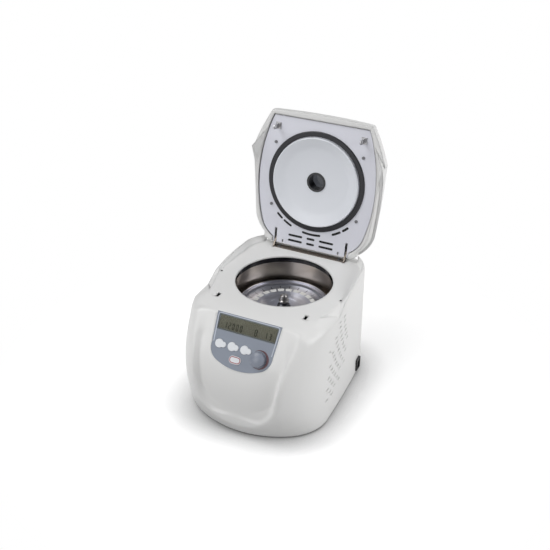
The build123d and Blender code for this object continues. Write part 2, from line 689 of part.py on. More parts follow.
# Motor, hung on rubber over three posts
def make_motor():
    """Upright brushless motor on its plate, rubber mounts and steel posts."""
    posts, rubbers, plate = [], [], disc(MOUNT_PCD_R + 10, CAN_BOTTOM - PLATE_T, CAN_BOTTOM)
    rubber_top = CAN_BOTTOM - PLATE_T
    post_top = rubber_top - 22
    for x, y in pillar_places():
        posts.append(disc(8, BASE_Z + BASE_T, post_top, x, y))
        pad = disc(11, post_top, post_top + 5, x, y) + disc(8, post_top, rubber_top, x, y)
        rubbers.append(pad + disc(11, rubber_top - 5, rubber_top, x, y))
        plate = plate - disc(2.2, rubber_top - 1, CAN_BOTTOM + 1, x, y)
    plate = plate - disc(BEARING_R - 3, rubber_top - 1, CAN_BOTTOM + 1)
    nodes["motor_posts"] = together(posts)
    nodes["rubber_mounts"] = together(rubbers)
    nodes["motor_plate"] = plate
    floor_t = BELL_T + 2
    can = disc(CAN_R, CAN_BOTTOM, CAN_TOP) - disc(CAN_R - CAN_WALL, CAN_BOTTOM + floor_t, CAN_TOP + 1)
    can = can - disc(BEARING_R, CAN_BOTTOM + floor_t - BEARING_W, CAN_TOP) - disc(BEARING_R - 3, 0, CAN_TOP)
    nodes["motor_can"] = can
    bell = disc(CAN_R, CAN_TOP, CAN_TOP + BELL_T) - disc(BEARING_R, 0, CAN_TOP + BEARING_W)
    nodes["motor_end_bell"] = bell - disc(BEARING_R - 3, 0, 300)
    low_z = CAN_BOTTOM + floor_t - BEARING_W
    nodes["motor_bearings"] = together([
        ring(BEARING_R, SHAFT_R + RUN_FIT, low_z, low_z + BEARING_W),
        ring(BEARING_R, SHAFT_R + RUN_FIT, CAN_TOP, CAN_TOP + BEARING_W)])
    stack_low, stack_high = CAN_BOTTOM + 20, CAN_TOP - 12
    stator = ring(CAN_R - CAN_WALL, 21.0, stack_low, stack_high)
    for i in range(9):
        gap = Rot(0, 0, i * 40) * block(24, CAN_R - 9, -3, 3, 0, 300)
        stator = stator - gap
    nodes["motor_stator"] = stator
    nodes["motor_magnets"] = ring(20.4, SHAFT_R, stack_low, stack_high)
    shaft = disc(SHAFT_R, CAN_BOTTOM + 1, ROTOR_TOP + 5)
    nodes["motor_shaft"] = shaft


# Rotor for the capillary tubes
def make_rotor():
    """Dished aluminium rotor with radial tube slots, its hub, gasket, tabs and clamp nut."""
    wall_r = ROTOR_R - 8.0
    disc_body = turned([
        (SHAFT_R + 5, ROTOR_BOTTOM), (70.0, ROTOR_BOTTOM), (wall_r, ROTOR_BOTTOM + 3),
        (ROTOR_R - 1, ROTOR_BOTTOM + 4), (ROTOR_R, ROTOR_BOTTOM + 5), (ROTOR_R, ROTOR_TOP - 1),
        (ROTOR_R - 1, ROTOR_TOP), (ROTOR_R - 4, ROTOR_TOP), (ROTOR_R - 4, ROTOR_TOP - 2),
        (wall_r, ROTOR_TOP - 2), (wall_r, ROTOR_FLOOR + 1.5), (TAB_OUT_R + 2, ROTOR_FLOOR),
        (TAB_IN_R - 2, ROTOR_FLOOR), (TAB_IN_R - 4, ROTOR_FLOOR - 1), (18.0, ROTOR_FLOOR - 1),
        (18.0, ROTOR_FLOOR), (SHAFT_R + 5, ROTOR_FLOOR)])
    groove = block(24, wall_r - GASKET_T, -TUBE_SLOT_W / 2, TUBE_SLOT_W / 2,
                   ROTOR_FLOOR - TUBE_SLOT_D, ROTOR_FLOOR + 8)
    grooves = [Rot(0, 0, (i + 0.5) * 360 / TUBES) * groove for i in range(TUBES)]
    disc_body = disc_body.cut(*[solid for g in grooves for solid in g.solids()])
    nodes["capillary_rotor"] = disc_body
    nodes["rotor_gasket"] = ring(wall_r, wall_r - GASKET_T, ROTOR_FLOOR + 1.5, ROTOR_FLOOR + 4.5)
    half_gap = TUBE_SLOT_W / 2 + 0.7
    tab_ring = ring(TAB_OUT_R, TAB_IN_R, ROTOR_FLOOR, ROTOR_FLOOR + TAB_T)
    spokes = [
        Rot(0, 0, (i + 0.5) * 360 / TUBES) * block(40, 90, -half_gap, half_gap, 0, 300)
        for i in range(TUBES)]
    nodes["number_tabs"] = together([
        tab_ring.cut(*[solid for s in spokes for solid in s.solids()])])
    hub_top = ROTOR_TOP + 7
    hub = turned([
        (SHAFT_R, BOWL_FLOOR + 6), (12.0, BOWL_FLOOR + 6), (12.0, ROTOR_BOTTOM), (SHAFT_R + 5, ROTOR_BOTTOM),
        (SHAFT_R + 5, ROTOR_FLOOR), (14.0, ROTOR_FLOOR), (12.0, ROTOR_FLOOR + 5), (9.0, ROTOR_FLOOR + 7),
        (9.0, hub_top - 2), (SHAFT_R, hub_top - 2)])
    nodes["rotor_hub"] = hub
    nut = turned([
        (0, ROTOR_TOP + 5), (10.2, ROTOR_TOP + 5), (10.2, hub_top + 1), (NUT_R, hub_top + 2.5),
        (NUT_R, NUT_TOP - 3), (NUT_R - 2, NUT_TOP - 0.6), (0, NUT_TOP)])
    nodes["rotor_nut"] = nut


# Control panel
def key_sketch(grow=0.0):
    """Round key with a smaller lobe at its right."""
    return Circle(KEY_R + grow) + Pos(KEY_LOBE_X, -0.8) * Circle(KEY_LOBE_R + grow)


def start_sketch(grow=0.0):
    """Oval start and stop key."""
    return SlotOverall(START_LENGTH + 2 * grow, START_WIDTH + 2 * grow)


def make_key(sketch, x, y):
    """Key cap with the rim behind the panel that keeps it in, and its stem."""
    proud = 1.0
    cap = on_panel(sketch(), PANEL_T + 0.6, PANEL_T + 0.6 + proud, x, y)
    rim = on_panel(sketch(1.2), PANEL_T + 1.0, 0.9, x, y)
    stem = on_panel(Circle(2.5), BOARD_DEPTH - TACT_HEIGHT - KEY_TRAVEL - 0.2,
                    BOARD_DEPTH - TACT_HEIGHT - KEY_TRAVEL - 0.2 - PANEL_T, x, y)
    return cap + rim + stem


def make_controls():
    """Panel plate, display, board with its switches, keys and the setting knob."""
    plate = on_panel(panel_outline(), PANEL_T, PANEL_T)
    lcd_mid = -(LCD_TOP + LCD_HEIGHT / 2)
    glass_t = PANEL_T - 0.6
    plate = plate - on_panel(Rectangle(2 * LCD_HALF + 0.1, LCD_HEIGHT + 0.1), glass_t, glass_t, 0, lcd_mid)
    plate = plate - on_panel(Rectangle(2 * LCD_HALF - 6, LCD_HEIGHT - 5), PANEL_T, PANEL_T, 0, lcd_mid)
    board_face = make_face(Polyline(
        (-BOARD_HALF, BOARD_TOP), (BOARD_HALF, BOARD_TOP), (BOARD_HALF, BOARD_LOW + 20),
        (BOARD_HALF - 12, BOARD_LOW), (-BOARD_HALF + 12, BOARD_LOW), (-BOARD_HALF, BOARD_LOW + 20),
        close=True))
    board = on_panel(board_face, BOARD_DEPTH + PCB_T, PCB_T)
    for i, name in enumerate(("key_left", "key_middle", "key_right")):
        x = KEY_MID_X + (i - 1) * KEY_PITCH
        plate = plate - on_panel(key_sketch(CLEAR), PANEL_T + 1, PANEL_T + 2, x, KEY_Y)
        nodes[name] = make_key(key_sketch, x, KEY_Y)
        board = board + on_panel(Circle(3), BOARD_DEPTH, TACT_HEIGHT, x, KEY_Y)
    plate = plate - on_panel(start_sketch(CLEAR), PANEL_T + 1, PANEL_T + 2, START_X, START_Y)
    nodes["start_key"] = make_key(start_sketch, START_X, START_Y)
    board = board + on_panel(Circle(3), BOARD_DEPTH, TACT_HEIGHT, START_X, START_Y)
    bush_r = SHAFT_R + 0.6
    plate = plate - on_panel(Circle(bush_r + CLEAR), PANEL_T + 1, PANEL_T + 2, KNOB_X, KNOB_Y)
    for x, y in BOARD_POSTS:
        board = board - on_panel(Circle(SCREW_R + 0.1), BOARD_DEPTH + PCB_T + 1, PCB_T + 2, x, y)
    nodes["control_panel"] = plate
    nodes["display_board"] = board
    nodes["lcd_window"] = on_panel(Rectangle(2 * LCD_HALF, LCD_HEIGHT), glass_t, glass_t, 0, lcd_mid)
    nodes["lcd_module"] = on_panel(Rectangle(2 * LCD_HALF - 5, LCD_HEIGHT), BOARD_DEPTH,
                                   BOARD_DEPTH - PANEL_T, 0, lcd_mid)
    encoder = on_panel(Rectangle(13, 13), BOARD_DEPTH, 6, KNOB_X, KNOB_Y)
    encoder = encoder + on_panel(Circle(bush_r), BOARD_DEPTH - 5, BOARD_DEPTH - 3, KNOB_X, KNOB_Y)
    nodes["rotary_encoder"] = encoder - on_panel(Circle(PIN_R + RUN_FIT), BOARD_DEPTH - 0.5, 20, KNOB_X, KNOB_Y)
    crown = panel_plane(0) * Pos(KNOB_X, KNOB_Y, -10) * Sphere(KNOB_R + 8.9)
    knob = on_panel(Circle(KNOB_R), -CLEAR, KNOB_HEIGHT, KNOB_X, KNOB_Y) & crown
    knob = knob - on_panel(Circle(bush_r + 1), 0, 3, KNOB_X, KNOB_Y)
    nodes["knob"] = knob + on_panel(Circle(PIN_R), BOARD_DEPTH - 1, BOARD_DEPTH + 4, KNOB_X, KNOB_Y)


# Lid lock under the two hook slots
def make_lock():
    """Latch housings, solenoid, the sliding link with its two bolts, and the lid switch."""
    top = SEAT_Z - WALL
    housings, bolts = [], []
    for side in (-1, 1):
        x = side * HOOK_X
        outer = block(x - 13, x + 13, SLOT_Y - 10.6, SLOT_Y + 11.4, LOCK_LOW, top)
        inner = block(x - 11, x + 11, SLOT_Y - 12, SLOT_Y + 9.4, LOCK_LOW - 1, top - 2)
        slot = block(x - SLOT_WIDTH / 2, x + SLOT_WIDTH / 2, SLOT_Y - 7.5, SLOT_Y + 7.5, top - 5, top + 1)
        back = x + HOOK_T / 2 + LOCK_TRAVEL / 2
        way = block(x - 14, x + 14, BOLT_Y - 2.2, BOLT_Y + 2.2, BOLT_Z - 2.1, BOLT_Z + 2.1)
        housings.append(outer - inner - slot - way)
        bolt = block(back, back + 17, BOLT_Y - 1.6, BOLT_Y + 1.6, BOLT_Z - 1.6, BOLT_Z + 1.6)
        bolts.append(bolt + block(back + 3, back + 6, LINK_Y - 1, BOLT_Y, BOLT_Z - 1.6, BOLT_Z + 1.6))
    nodes["latch_housings"] = together(housings)
    link = block(-HOOK_X + 1, HOOK_X + 12, LINK_Y - 2, LINK_Y, BOLT_Z - 4, BOLT_Z + 4)
    link = link + block(SOLENOID_X + 24, SOLENOID_X + 26, LINK_Y - 12, LINK_Y - 2, BOLT_Z - 3, BOLT_Z + 3)
    nodes["latch_link"] = link + bolts[0] + bolts[1]
    coil = block(SOLENOID_X - 18, SOLENOID_X + 18, LINK_Y - 18, LINK_Y - 4, BOLT_Z - 8, top)
    coil = coil - rolled_shoulders(WALL)[-1]
    nodes["lock_solenoid"] = coil - cross(3.1, SOLENOID_X - 14, SOLENOID_X + 19, LINK_Y - 11, BOLT_Z)
    nodes["solenoid_plunger"] = cross(3.0, SOLENOID_X - 6, SOLENOID_X + 24, LINK_Y - 11, BOLT_Z)
    nodes["lid_switch"] = block(HOOK_X - 9, HOOK_X + 9, SLOT_Y + 11.4, SLOT_Y + 17.4, LOCK_LOW + 2, LOCK_LOW + 12)


# Hinge parts that stay on the housing
def make_hinge():
    """Steel arms through the seat, the strip between them, the pin and its screws."""
    half = ARM_T / 2
    arm = flat_prism([
        (ARM_FRONT_Y, SEAT_Z - 22), (ARM_REAR_Y, SEAT_Z - 22), (ARM_REAR_Y, SEAT_Z + 0.5),
        (HINGE_Y + 2, HINGE_Z - 6), (HINGE_Y - 6, HINGE_Z + 2), (ARM_FRONT_Y, SEAT_Z + 2),
    ], ARM_X - half, ARM_X + half)
    arm = arm + cross(6.3, ARM_X - half, ARM_X + half, HINGE_Y, HINGE_Z)
    arm = arm - cross(PIN_R, 0, 120, HINGE_Y, HINGE_Z)
    foot_top = SEAT_Z - WALL
    arm = arm + block(HINGE_SCREW_X - 6, ARM_X - half + 1, ARM_FRONT_Y, ARM_REAR_Y, foot_top - 2.5, foot_top)
    for y in HINGE_SCREW_Y:
        arm = arm - disc(1.6, foot_top - 5, foot_top + 1, HINGE_SCREW_X, y)
    nodes["hinge_arms"] = together(both_sides(arm))
    strip = block(-ARM_X + 3, ARM_X - 3, ARM_FRONT_Y + 0.5, ARM_REAR_Y + 3, SEAT_Z, SEAT_Z + 1.5)
    screws = []
    for side in (-1, 1):
        x = side * HINGE_SCREW_X
        for y in HINGE_SCREW_Y:
            strip = strip - disc(1.6, SEAT_Z - 1, SEAT_Z + 5, x, y)
            head = disc(2.8, SEAT_Z + 1.5, SEAT_Z + 2.7, x, y)
            nut = disc(2.8, foot_top - 5, foot_top - 2.5, x, y)
            screws.append(head + disc(1.5, foot_top - 5, SEAT_Z + 2, x, y) + nut)
    nodes["hinge_strip"] = strip
    nodes["hinge_screws"] = together(screws)
    nodes["hinge_pin"] = cross(PIN_R, -PIN_HALF, PIN_HALF, HINGE_Y, HINGE_Z)
    nodes["lid_buffers"] = together([
        disc(BUFFER_R, SEAT_Z - 6, SEAT_Z + 0.6, side * BUFFER_X, BUFFER_Y) for side in (-1, 1)])


def place_screws():
    """The common screws: four in the bowl rim, four in the display board, four in the rear panel."""
    screws = [Pos(x, y, BOWL_RIM_Z) * case_screw() for x, y in bowl_screw_places()]
    screws += [panel_plane(BOARD_DEPTH + PCB_T) * Pos(x, y) * case_screw() for x, y in BOARD_POSTS]
    for side in (-1, 1):
        for z in REAR_SCREW_Z:
            screws.append(Pos(side * REAR_SCREW_X, REAR_Y, z) * Rot(90, 0, 0) * case_screw())
    nodes["case_screws"] = together(screws)


# Mains parts and drive electronics
def make_electrics():
    """Rear panel, mains socket, fuse drawer, switch and the motor drive board."""
    face = REAR_Y - WALL
    panel = block(-REAR_HALF - 8, REAR_HALF + 8, face - REAR_T, face, REAR_LOW - 6, REAR_HIGH + 6)
    for side in (-1, 1):
        for z in REAR_SCREW_Z:
            panel = panel - Pos(side * REAR_SCREW_X, face, z) * Rot(90, 0, 0) * Cylinder(1.6, 20)
    for row in range(5):
        for column in range(6):
            slot = Plane.XZ * SlotOverall(16, 3.2)
            x = -52.5 + 21 * column
            panel = panel - Pos(x, face + 3, 96 + 9 * row) * extrude(slot, 8)
    opening = block(INLET_X - 13.6, INLET_X + 13.6, face - 5, face + 1, INLET_Z - 16.1, INLET_Z + 16.1)
    nodes["rear_panel"] = panel - opening
    inlet = block(INLET_X - 15.5, INLET_X + 15.5, face, face + 2.2, INLET_Z - 18, INLET_Z + 18)
    inlet = inlet + block(INLET_X - 13.4, INLET_X + 13.4, face - 24, face, INLET_Z - 15.9, INLET_Z + 15.9)
    socket_mid = INLET_Z + 5.2
    well = Pos(INLET_X, face + 3, socket_mid) * extrude(
        Plane.XZ * chamfer(Rectangle(24.4, 16.4).vertices().sort_by(Axis.Y)[-2:], 4), SOCKET_DEPTH + 3)
    drawer_hole = block(INLET_X - 11, INLET_X + 11, face - 16, face + 3, INLET_Z - 14.5, INLET_Z - 6)
    pins = [
        block(INLET_X + x - 1, INLET_X + x + 1, face - SOCKET_DEPTH, face - 4.6, socket_mid + z - 2, socket_mid + z + 2)
        for x, z in ((-7, -1.5), (0, 2.5), (7, -1.5))]
    nodes["power_inlet"] = inlet - well - drawer_hole
    nodes["inlet_pins"] = together(pins)
    nodes["fuse_drawer"] = (
        block(INLET_X - 10.8, INLET_X + 10.8, face - 15.8, face + 2.2, INLET_Z - 14.3, INLET_Z - 6.2)
        + block(INLET_X - 4, INLET_X + 4, face + 2.2, face + 2.8, INLET_Z - 12.6, INLET_Z - 8))
    half_y, half_z = SWITCH_WIDE / 2, SWITCH_TALL / 2
    frame = block(BODY_HALF - 20, BODY_HALF, SWITCH_Y - half_y, SWITCH_Y + half_y,
                  SWITCH_Z - half_z, SWITCH_Z + half_z)
    well = block(BODY_HALF - 13, BODY_HALF + 1, SWITCH_Y - half_y + 2.5, SWITCH_Y + half_y - 2.5,
                 SWITCH_Z - half_z + 2.5, SWITCH_Z + half_z - 2.5)
    nodes["switch_frame"] = frame - well
    pivot_x = BODY_HALF - 6.5
    rocker = Plane.XZ * make_face(Polyline(
        (pivot_x - 3, SWITCH_Z - 3), (pivot_x - 3, SWITCH_Z + 3), (pivot_x + 4.2, SWITCH_Z + half_z - 3.4),
        (pivot_x + 6.0, SWITCH_Z + half_z - 4.0), (pivot_x + 3.2, SWITCH_Z),
        (pivot_x + 3.6, SWITCH_Z - half_z + 4.2), (pivot_x + 1.8, SWITCH_Z - half_z + 4.2), close=True))
    rocker = Pos(0, SWITCH_Y + half_y - 3, 0) * extrude(rocker, SWITCH_WIDE - 6)
    nodes["power_rocker"] = rocker
    low = BASE_Z + BASE_T
    board = block(-62, 62, 62, 118, low + 8, low + 8 + PCB_T)
    for x, y in DRIVE_POSTS:
        board = board - disc(1.6, low, low + 20, x, y)
    nodes["drive_board"] = board
    parts_z = low + 8 + PCB_T
    nodes["board_capacitors"] = together([disc(11, parts_z, parts_z + 34, x, 78) for x in (-40, -15)])


# Lid, drawn closed
def make_lid_shell():
    """Outer moulding of the lid with its ears, screw bosses and hinge knuckles."""
    low = SEAT_Z - NOTCH_DEPTH
    hollow = lid_block(LID_WALL, LID_WALL, low, 0) - closing_form(LID_GAP + LID_FLANGE, LID_GAP + LID_FLANGE)
    shell = lid_block(0, 0, low, LID_EDGE_R) - closing_form(LID_GAP, LID_GAP) - hollow
    shell = shell - Pos(0, 0, low) * extrude(offset(liner_outline(), LINER_GAP), LINER_Z + LINER_T - low)
    roof = lid_block(1, 1, SEAT_Z + LID_GAP, 0)
    for x in (-SCREW_X, SCREW_X):
        for y in SCREW_Y:
            shell = shell + (disc(4.5, LINER_Z + LINER_T, LID_TOP, x, y) & roof)
    for side in (-1, 1):
        for middle in KNUCKLE_X:
            x = side * middle
            lug = cross(6.5, x - 3, x + 3, HINGE_Y, HINGE_Z)
            web = block(x - 3, x + 3, HINGE_Y - 6.5, HINGE_Y + 6.5, HINGE_Z, LID_TOP)
            shell = shell + ((lug + web) & roof)
    shell = shell + (disc(SIGHT_R + 3.5, LID_TOP - 9, LID_TOP) & roof)
    shell = shell - disc(SIGHT_R, LID_TOP - 20, LID_TOP + 5)
    shell = shell - cross(BUSH_R, -100, 100, HINGE_Y, HINGE_Z)
    liner_top = LINER_Z + LINER_T
    shell = shell - block(-85.3, 85.3, HINGE_Y - 9, LINER_REAR_Y + 0.2, LINER_Z - 6, liner_top)
    for side in (-1, 1):
        x = side * ARM_X
        shell = shell - block(x - 2.6, x + 2.6, ARM_FRONT_Y - 6, REAR_Y + 10, SEAT_Z - 6, HINGE_Z + 3.2)
        shell = shell - cross(7.0, x - 2.6, x + 2.6, HINGE_Y, HINGE_Z)
        for y in SCREW_Y:
            shell = shell - disc(1.6, LINER_Z, LINER_Z + 14, side * SCREW_X, y)
    return shell


def liner_outline():
    """Plan outline of the sheet liner: straight front, bowed sides, rounded rear corners."""
    front = (102.0, LINER_FRONT_Y)
    turn = (112.0, 104.0)
    end = (85.0, 135.0)
    right = [
        ThreePointArc(front, (LINER_HALF, 2.0), turn),
        ThreePointArc(turn, (103.0, 119.5), end),
        Line(end, (85.0, LINER_REAR_Y)),
    ]
    left = [mirror(edge, Plane.YZ) for edge in right]
    ends = [Line((-102.0, LINER_FRONT_Y), front), Line((85.0, LINER_REAR_Y), (-85.0, LINER_REAR_Y))]
    return make_face(Wire([e.edge() for e in ends + right + left]))


def liner_vents():
    """Cutters of the air slots behind the seal: one arc of slots and two straight rows."""
    cutters = []
    for middle, half in ((-40.4, 3.0), (-28.9, 4.2), (0.0, 9.3), (28.9, 4.2), (40.4, 3.0)):
        start = Vector(0, VENT_ARC_R).rotate(Axis.Z, middle - half)
        stop = Vector(0, VENT_ARC_R).rotate(Axis.Z, middle + half)
        way = Vector(0, VENT_ARC_R).rotate(Axis.Z, middle)
        slot = SlotArc(ThreePointArc(start, way, stop), VENT_WIDTH)
        cutters.append(Pos(0, 0, LINER_Z - 5) * extrude(slot, 10))
    for y in (124.5, 136.0):
        for x, length in ((-35.0, 32.0), (0.0, 18.0), (35.0, 32.0)):
            slot = Pos(x, y) * SlotOverall(length, VENT_WIDTH)
            cutters.append(Pos(0, 0, LINER_Z - 5) * extrude(slot, 10))
    return cutters


def make_lid():
    """Everything that swings with the lid, in its closed place."""
    lid = {"lid_shell": make_lid_shell()}
    liner = Pos(0, 0, LINER_Z) * extrude(liner_outline(), LINER_T)
    liner = liner - disc(PLUG_R - 0.5, LINER_Z - 5, LINER_Z + 5)
    cutters = liner_vents()
    screws, hooks = [], []
    for side in (-1, 1):
        x = side * ARM_X
        cutters.append(block(x - 2.6, x + 2.6, ARM_FRONT_Y - 2.5, REAR_Y, LINER_Z - 5, LINER_Z + 5))
        cutters.append(block(side * 63.1 - 1.6, side * 63.1 + 1.6, 138, REAR_Y, LINER_Z - 5, LINER_Z + 5))
        for y in SCREW_Y:
            cutters.append(disc(1.9, LINER_Z - 5, LINER_Z + 5, side * SCREW_X, y))
            screws.append(disc(3.2, LINER_Z - 1.8, LINER_Z, side * SCREW_X, y)
                          + disc(1.5, LINER_Z - 1, LINER_Z + 10, side * SCREW_X, y))
        x = side * HOOK_X
        plate = flat_prism([
            (HOOK_Y - 4.5, LINER_Z), (HOOK_Y + 4.5, LINER_Z), (HOOK_Y + 4.5, HOOK_LOW + 3),
            (HOOK_Y + 1.5, HOOK_LOW), (HOOK_Y - 1.5, HOOK_LOW), (HOOK_Y - 4.5, HOOK_LOW + 3),
        ], x - HOOK_T / 2, x + HOOK_T / 2)
        window = block(x - 5, x + 5, BOLT_Y - 2.6, BOLT_Y + 2.6, BOLT_Z - 2.8, BOLT_Z + 2.8)
        base = block(x - 6, x + 6, HOOK_Y - 7, HOOK_Y + 7, LINER_Z - 1.2, LINER_Z)
        hooks.append(plate - window + base)
    lid["lid_liner"] = liner.cut(*[solid for cutter in cutters for solid in cutter.solids()])
    lid["lid_screws"] = together(screws)
    lid["lid_hooks"] = together(hooks)
    thin = SEAT_Z + 0.4
    lid["lid_seal"] = turned([
        (SEAL_IN_R, LINER_Z), (SEAL_IN_R, thin + 1), (SEAL_IN_R + 1.2, thin), (SEAL_OUT_R - 1.2, thin),
        (SEAL_OUT_R, thin + 1), (SEAL_OUT_R, LINER_Z)])
    floor_z = LINER_Z + 1.5
    edge = PLUG_R - 4.0
    lid["lid_plug"] = turned([
        (PLUG_R + 3, LINER_Z + LINER_T), (PLUG_R - 0.6, LINER_Z + LINER_T), (PLUG_R - 0.6, PLUG_Z + 1.5),
        (PLUG_R - 2.2, PLUG_Z), (edge, PLUG_Z + 0.6), (PLUG_FLOOR_R + 10, PLUG_Z + 6.5), (PLUG_FLOOR_R, floor_z),
        (SIGHT_R + 1.2, floor_z), (SIGHT_R + 1.2, floor_z + PLUG_T), (PLUG_FLOOR_R, floor_z + PLUG_T),
        (PLUG_FLOOR_R + 11, PLUG_Z + 6.5 + PLUG_T), (edge - 1, PLUG_Z + 0.6 + PLUG_T),
        (PLUG_R - 2.8, PLUG_Z + 3), (PLUG_R - 2.8, LINER_Z + LINER_T + 1.2), (PLUG_R + 3, LINER_Z + LINER_T + 1.2)])
    lid["sight_tube"] = turned([
        (SIGHT_R - 1.6, floor_z - 1.2), (SIGHT_R + 3, floor_z - 1.2), (SIGHT_R + 3, floor_z),
        (SIGHT_R, floor_z), (SIGHT_R, LID_TOP - 5), (SIGHT_R - 1.6, LID_TOP - 5)])
    lid["sight_glass"] = disc(SIGHT_R - 0.1, LID_TOP - 5, LID_TOP - 1)
    bushes = []
    for side in (-1, 1):
        for middle in KNUCKLE_X:
            low_x, high_x = side * middle - 3, side * middle + 3
            bushes.append(cross(BUSH_R, low_x, high_x, HINGE_Y, HINGE_Z)
                          - cross(PIN_R + RUN_FIT, low_x - 1, high_x + 1, HINGE_Y, HINGE_Z))
    lid["hinge_bushes"] = together(bushes)
    hinge_line = Axis((0, HINGE_Y, HINGE_Z), (1, 0, 0))
    for name, shape in lid.items():
        nodes[name] = shape.rotate(hinge_line, -LID_OPEN)


def write_parts():
    """Moves every piece so that the origin lies under the middle, and writes one file each."""
    whole = Compound([solid for shape in nodes.values() for solid in shape.solids()])
    box = whole.bounding_box()
    shift = Vector(-(box.min.X + box.max.X) / 2, -(box.min.Y + box.max.Y) / 2, -box.min.Z)
    os.makedirs("parts", exist_ok=True)
    for name, shape in nodes.items():
        export_step(Pos(*shift) * shape, os.path.join("parts", name + ".step"))
    return shift


nodes["casing"] = make_casing()
make_base()
make_chamber()
make_motor()
make_rotor()
make_controls()
make_lock()
make_hinge()
place_screws()
make_electrics()
make_lid()
shift = write_parts()
print("origin moved by", [round(v, 3) for v in shift], "with", len(nodes), "pieces")
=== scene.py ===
import json
import math
import bmesh
import bpy
from mathutils import Matrix, Vector, geometry


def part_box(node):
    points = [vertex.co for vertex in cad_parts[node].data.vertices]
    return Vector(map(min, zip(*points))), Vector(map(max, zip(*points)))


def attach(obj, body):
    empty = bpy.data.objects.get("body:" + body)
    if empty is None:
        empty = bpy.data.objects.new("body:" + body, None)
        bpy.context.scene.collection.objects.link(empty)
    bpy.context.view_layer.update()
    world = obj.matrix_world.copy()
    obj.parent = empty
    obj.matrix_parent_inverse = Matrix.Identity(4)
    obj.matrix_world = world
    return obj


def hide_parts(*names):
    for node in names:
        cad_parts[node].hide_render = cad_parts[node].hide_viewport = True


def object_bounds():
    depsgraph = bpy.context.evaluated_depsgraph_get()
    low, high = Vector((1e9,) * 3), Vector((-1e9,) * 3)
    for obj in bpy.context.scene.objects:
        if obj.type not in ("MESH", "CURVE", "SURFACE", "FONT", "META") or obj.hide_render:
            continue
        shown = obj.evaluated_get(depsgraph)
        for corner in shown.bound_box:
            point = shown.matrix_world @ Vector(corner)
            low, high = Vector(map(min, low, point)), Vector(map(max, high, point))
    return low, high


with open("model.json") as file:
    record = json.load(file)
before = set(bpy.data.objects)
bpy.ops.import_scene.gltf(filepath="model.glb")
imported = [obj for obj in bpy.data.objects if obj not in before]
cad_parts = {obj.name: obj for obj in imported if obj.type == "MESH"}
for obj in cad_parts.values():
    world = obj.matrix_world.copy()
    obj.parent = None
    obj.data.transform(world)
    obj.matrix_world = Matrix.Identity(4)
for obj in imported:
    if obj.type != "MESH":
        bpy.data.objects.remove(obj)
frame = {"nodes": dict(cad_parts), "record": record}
cad_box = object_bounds()

# Light tent: a sweep of seamless white paper under five soft lamps, as for a catalogue picture.
# The paper is matt and comes from the roll. It shows white to the camera and in the metal, keeps the
# machine's soft shadow, and sends less light back up than it shows.
MM = 0.001
cad = frame["nodes"]
body_of = {
    node: body for body, nodes in frame["record"]["behaviour"]["bodies"].items() for node in nodes}


def colour(code):
    """sRGB hex code as linear red, green, blue and full alpha."""
    parts = [int(code[i:i + 2], 16) / 255 for i in (0, 2, 4)]
    return [c / 12.92 if c <= 0.04045 else ((c + 0.055) / 1.055) ** 2.4 for c in parts] + [1.0]


def add(tree, kind, links=None, **settings):
    """Adds a node; links gives socket names a value or another node's output."""
    node = tree.nodes.new("ShaderNode" + kind)
    for name, value in settings.items():
        setattr(node, name, value)
    for name, value in (links or {}).items():
        socket = node.inputs[name]
        if isinstance(value, bpy.types.NodeSocket):
            tree.links.new(value, socket)
        else:
            socket.default_value = value
    return node


def material(name):
    """Empty node material; returns it with its tree and output."""
    made = bpy.data.materials.new(name)
    made.use_nodes = True
    tree = made.node_tree
    tree.nodes.clear()
    return made, tree, tree.nodes.new("ShaderNodeOutputMaterial")


# Paper: a painted contact shade darkens its colour close to the machine, and past the fade the sheet is plain
# white.
# Its flecks are drawn far coarser than real ones, so that they show at all.
PAPER_SIDE = 12.0  # metres
PAPER_FLECK = 400 / 3 * MM
PAPER_ROUGH = 0.8
PAPER_GLOW = 0.3
PAINTED_SHADE_REACH = 75 * MM
PAINTED_SHADE_DEPTH = 0.9
FADE_FROM, FADE_TO = 240 * MM, 620 * MM
paper, tree, out = material("seamless_white_paper")
ground = add(tree, "TexCoord").outputs["Object"]
from_corner = add(tree, "Mapping", {"Vector": ground, "Location": (PAPER_SIDE / 2,) * 3})
grain = add(tree, "TexNoise", {"Vector": from_corner.outputs[0], "Scale": 1 / PAPER_FLECK, "Detail": 3.0})
tone = add(tree, "ValToRGB", {"Fac": grain.outputs["Fac"]})
for stop, code in zip(tone.color_ramp.elements, ("FAFAFA", "FFFFFF")):
    stop.color = colour(code)
# Painted shade: ambient occlusion darkens the paper's colour close to the machine.
near = add(tree, "AmbientOcclusion", {"Color": tone.outputs["Color"], "Distance": PAINTED_SHADE_REACH}, samples=12)
depth = add(tree, "Math", {0: near.outputs["AO"], 1: PAINTED_SHADE_DEPTH}, operation="POWER")
shade = add(tree, "VectorMath", {0: tone.outputs["Color"], 3: depth.outputs[0]}, operation="SCALE")
bright = add(tree, "BsdfDiffuse", {"Color": shade.outputs[0], "Roughness": PAPER_ROUGH})
dull = add(tree, "BsdfDiffuse", {"Color": colour("BCBCBC"), "Roughness": PAPER_ROUGH})
path = add(tree, "LightPath")
seen = path.outputs["Is Camera Ray"]
for ray in ("Is Glossy Ray", "Is Transmission Ray"):
    seen = add(tree, "Math", {0: seen, 1: path.outputs[ray]}, operation="MAXIMUM").outputs[0]
glow = add(tree, "Emission", {"Color": shade.outputs[0], "Strength": PAPER_GLOW})
shown = add(tree, "AddShader", {0: bright.outputs[0], 1: glow.outputs[0]})
reach = add(tree, "VectorMath", {0: ground}, operation="LENGTH").outputs["Value"]
far = add(tree, "MapRange", {"Value": reach, "From Min": FADE_FROM, "From Max": FADE_TO},
          interpolation_type="SMOOTHSTEP")
blank = add(tree, "Emission", {"Color": colour("FFFFFF"), "Strength": 1.0})
shown = add(tree, "MixShader", {0: far.outputs["Result"], 1: shown.outputs[0], 2: blank.outputs[0]})
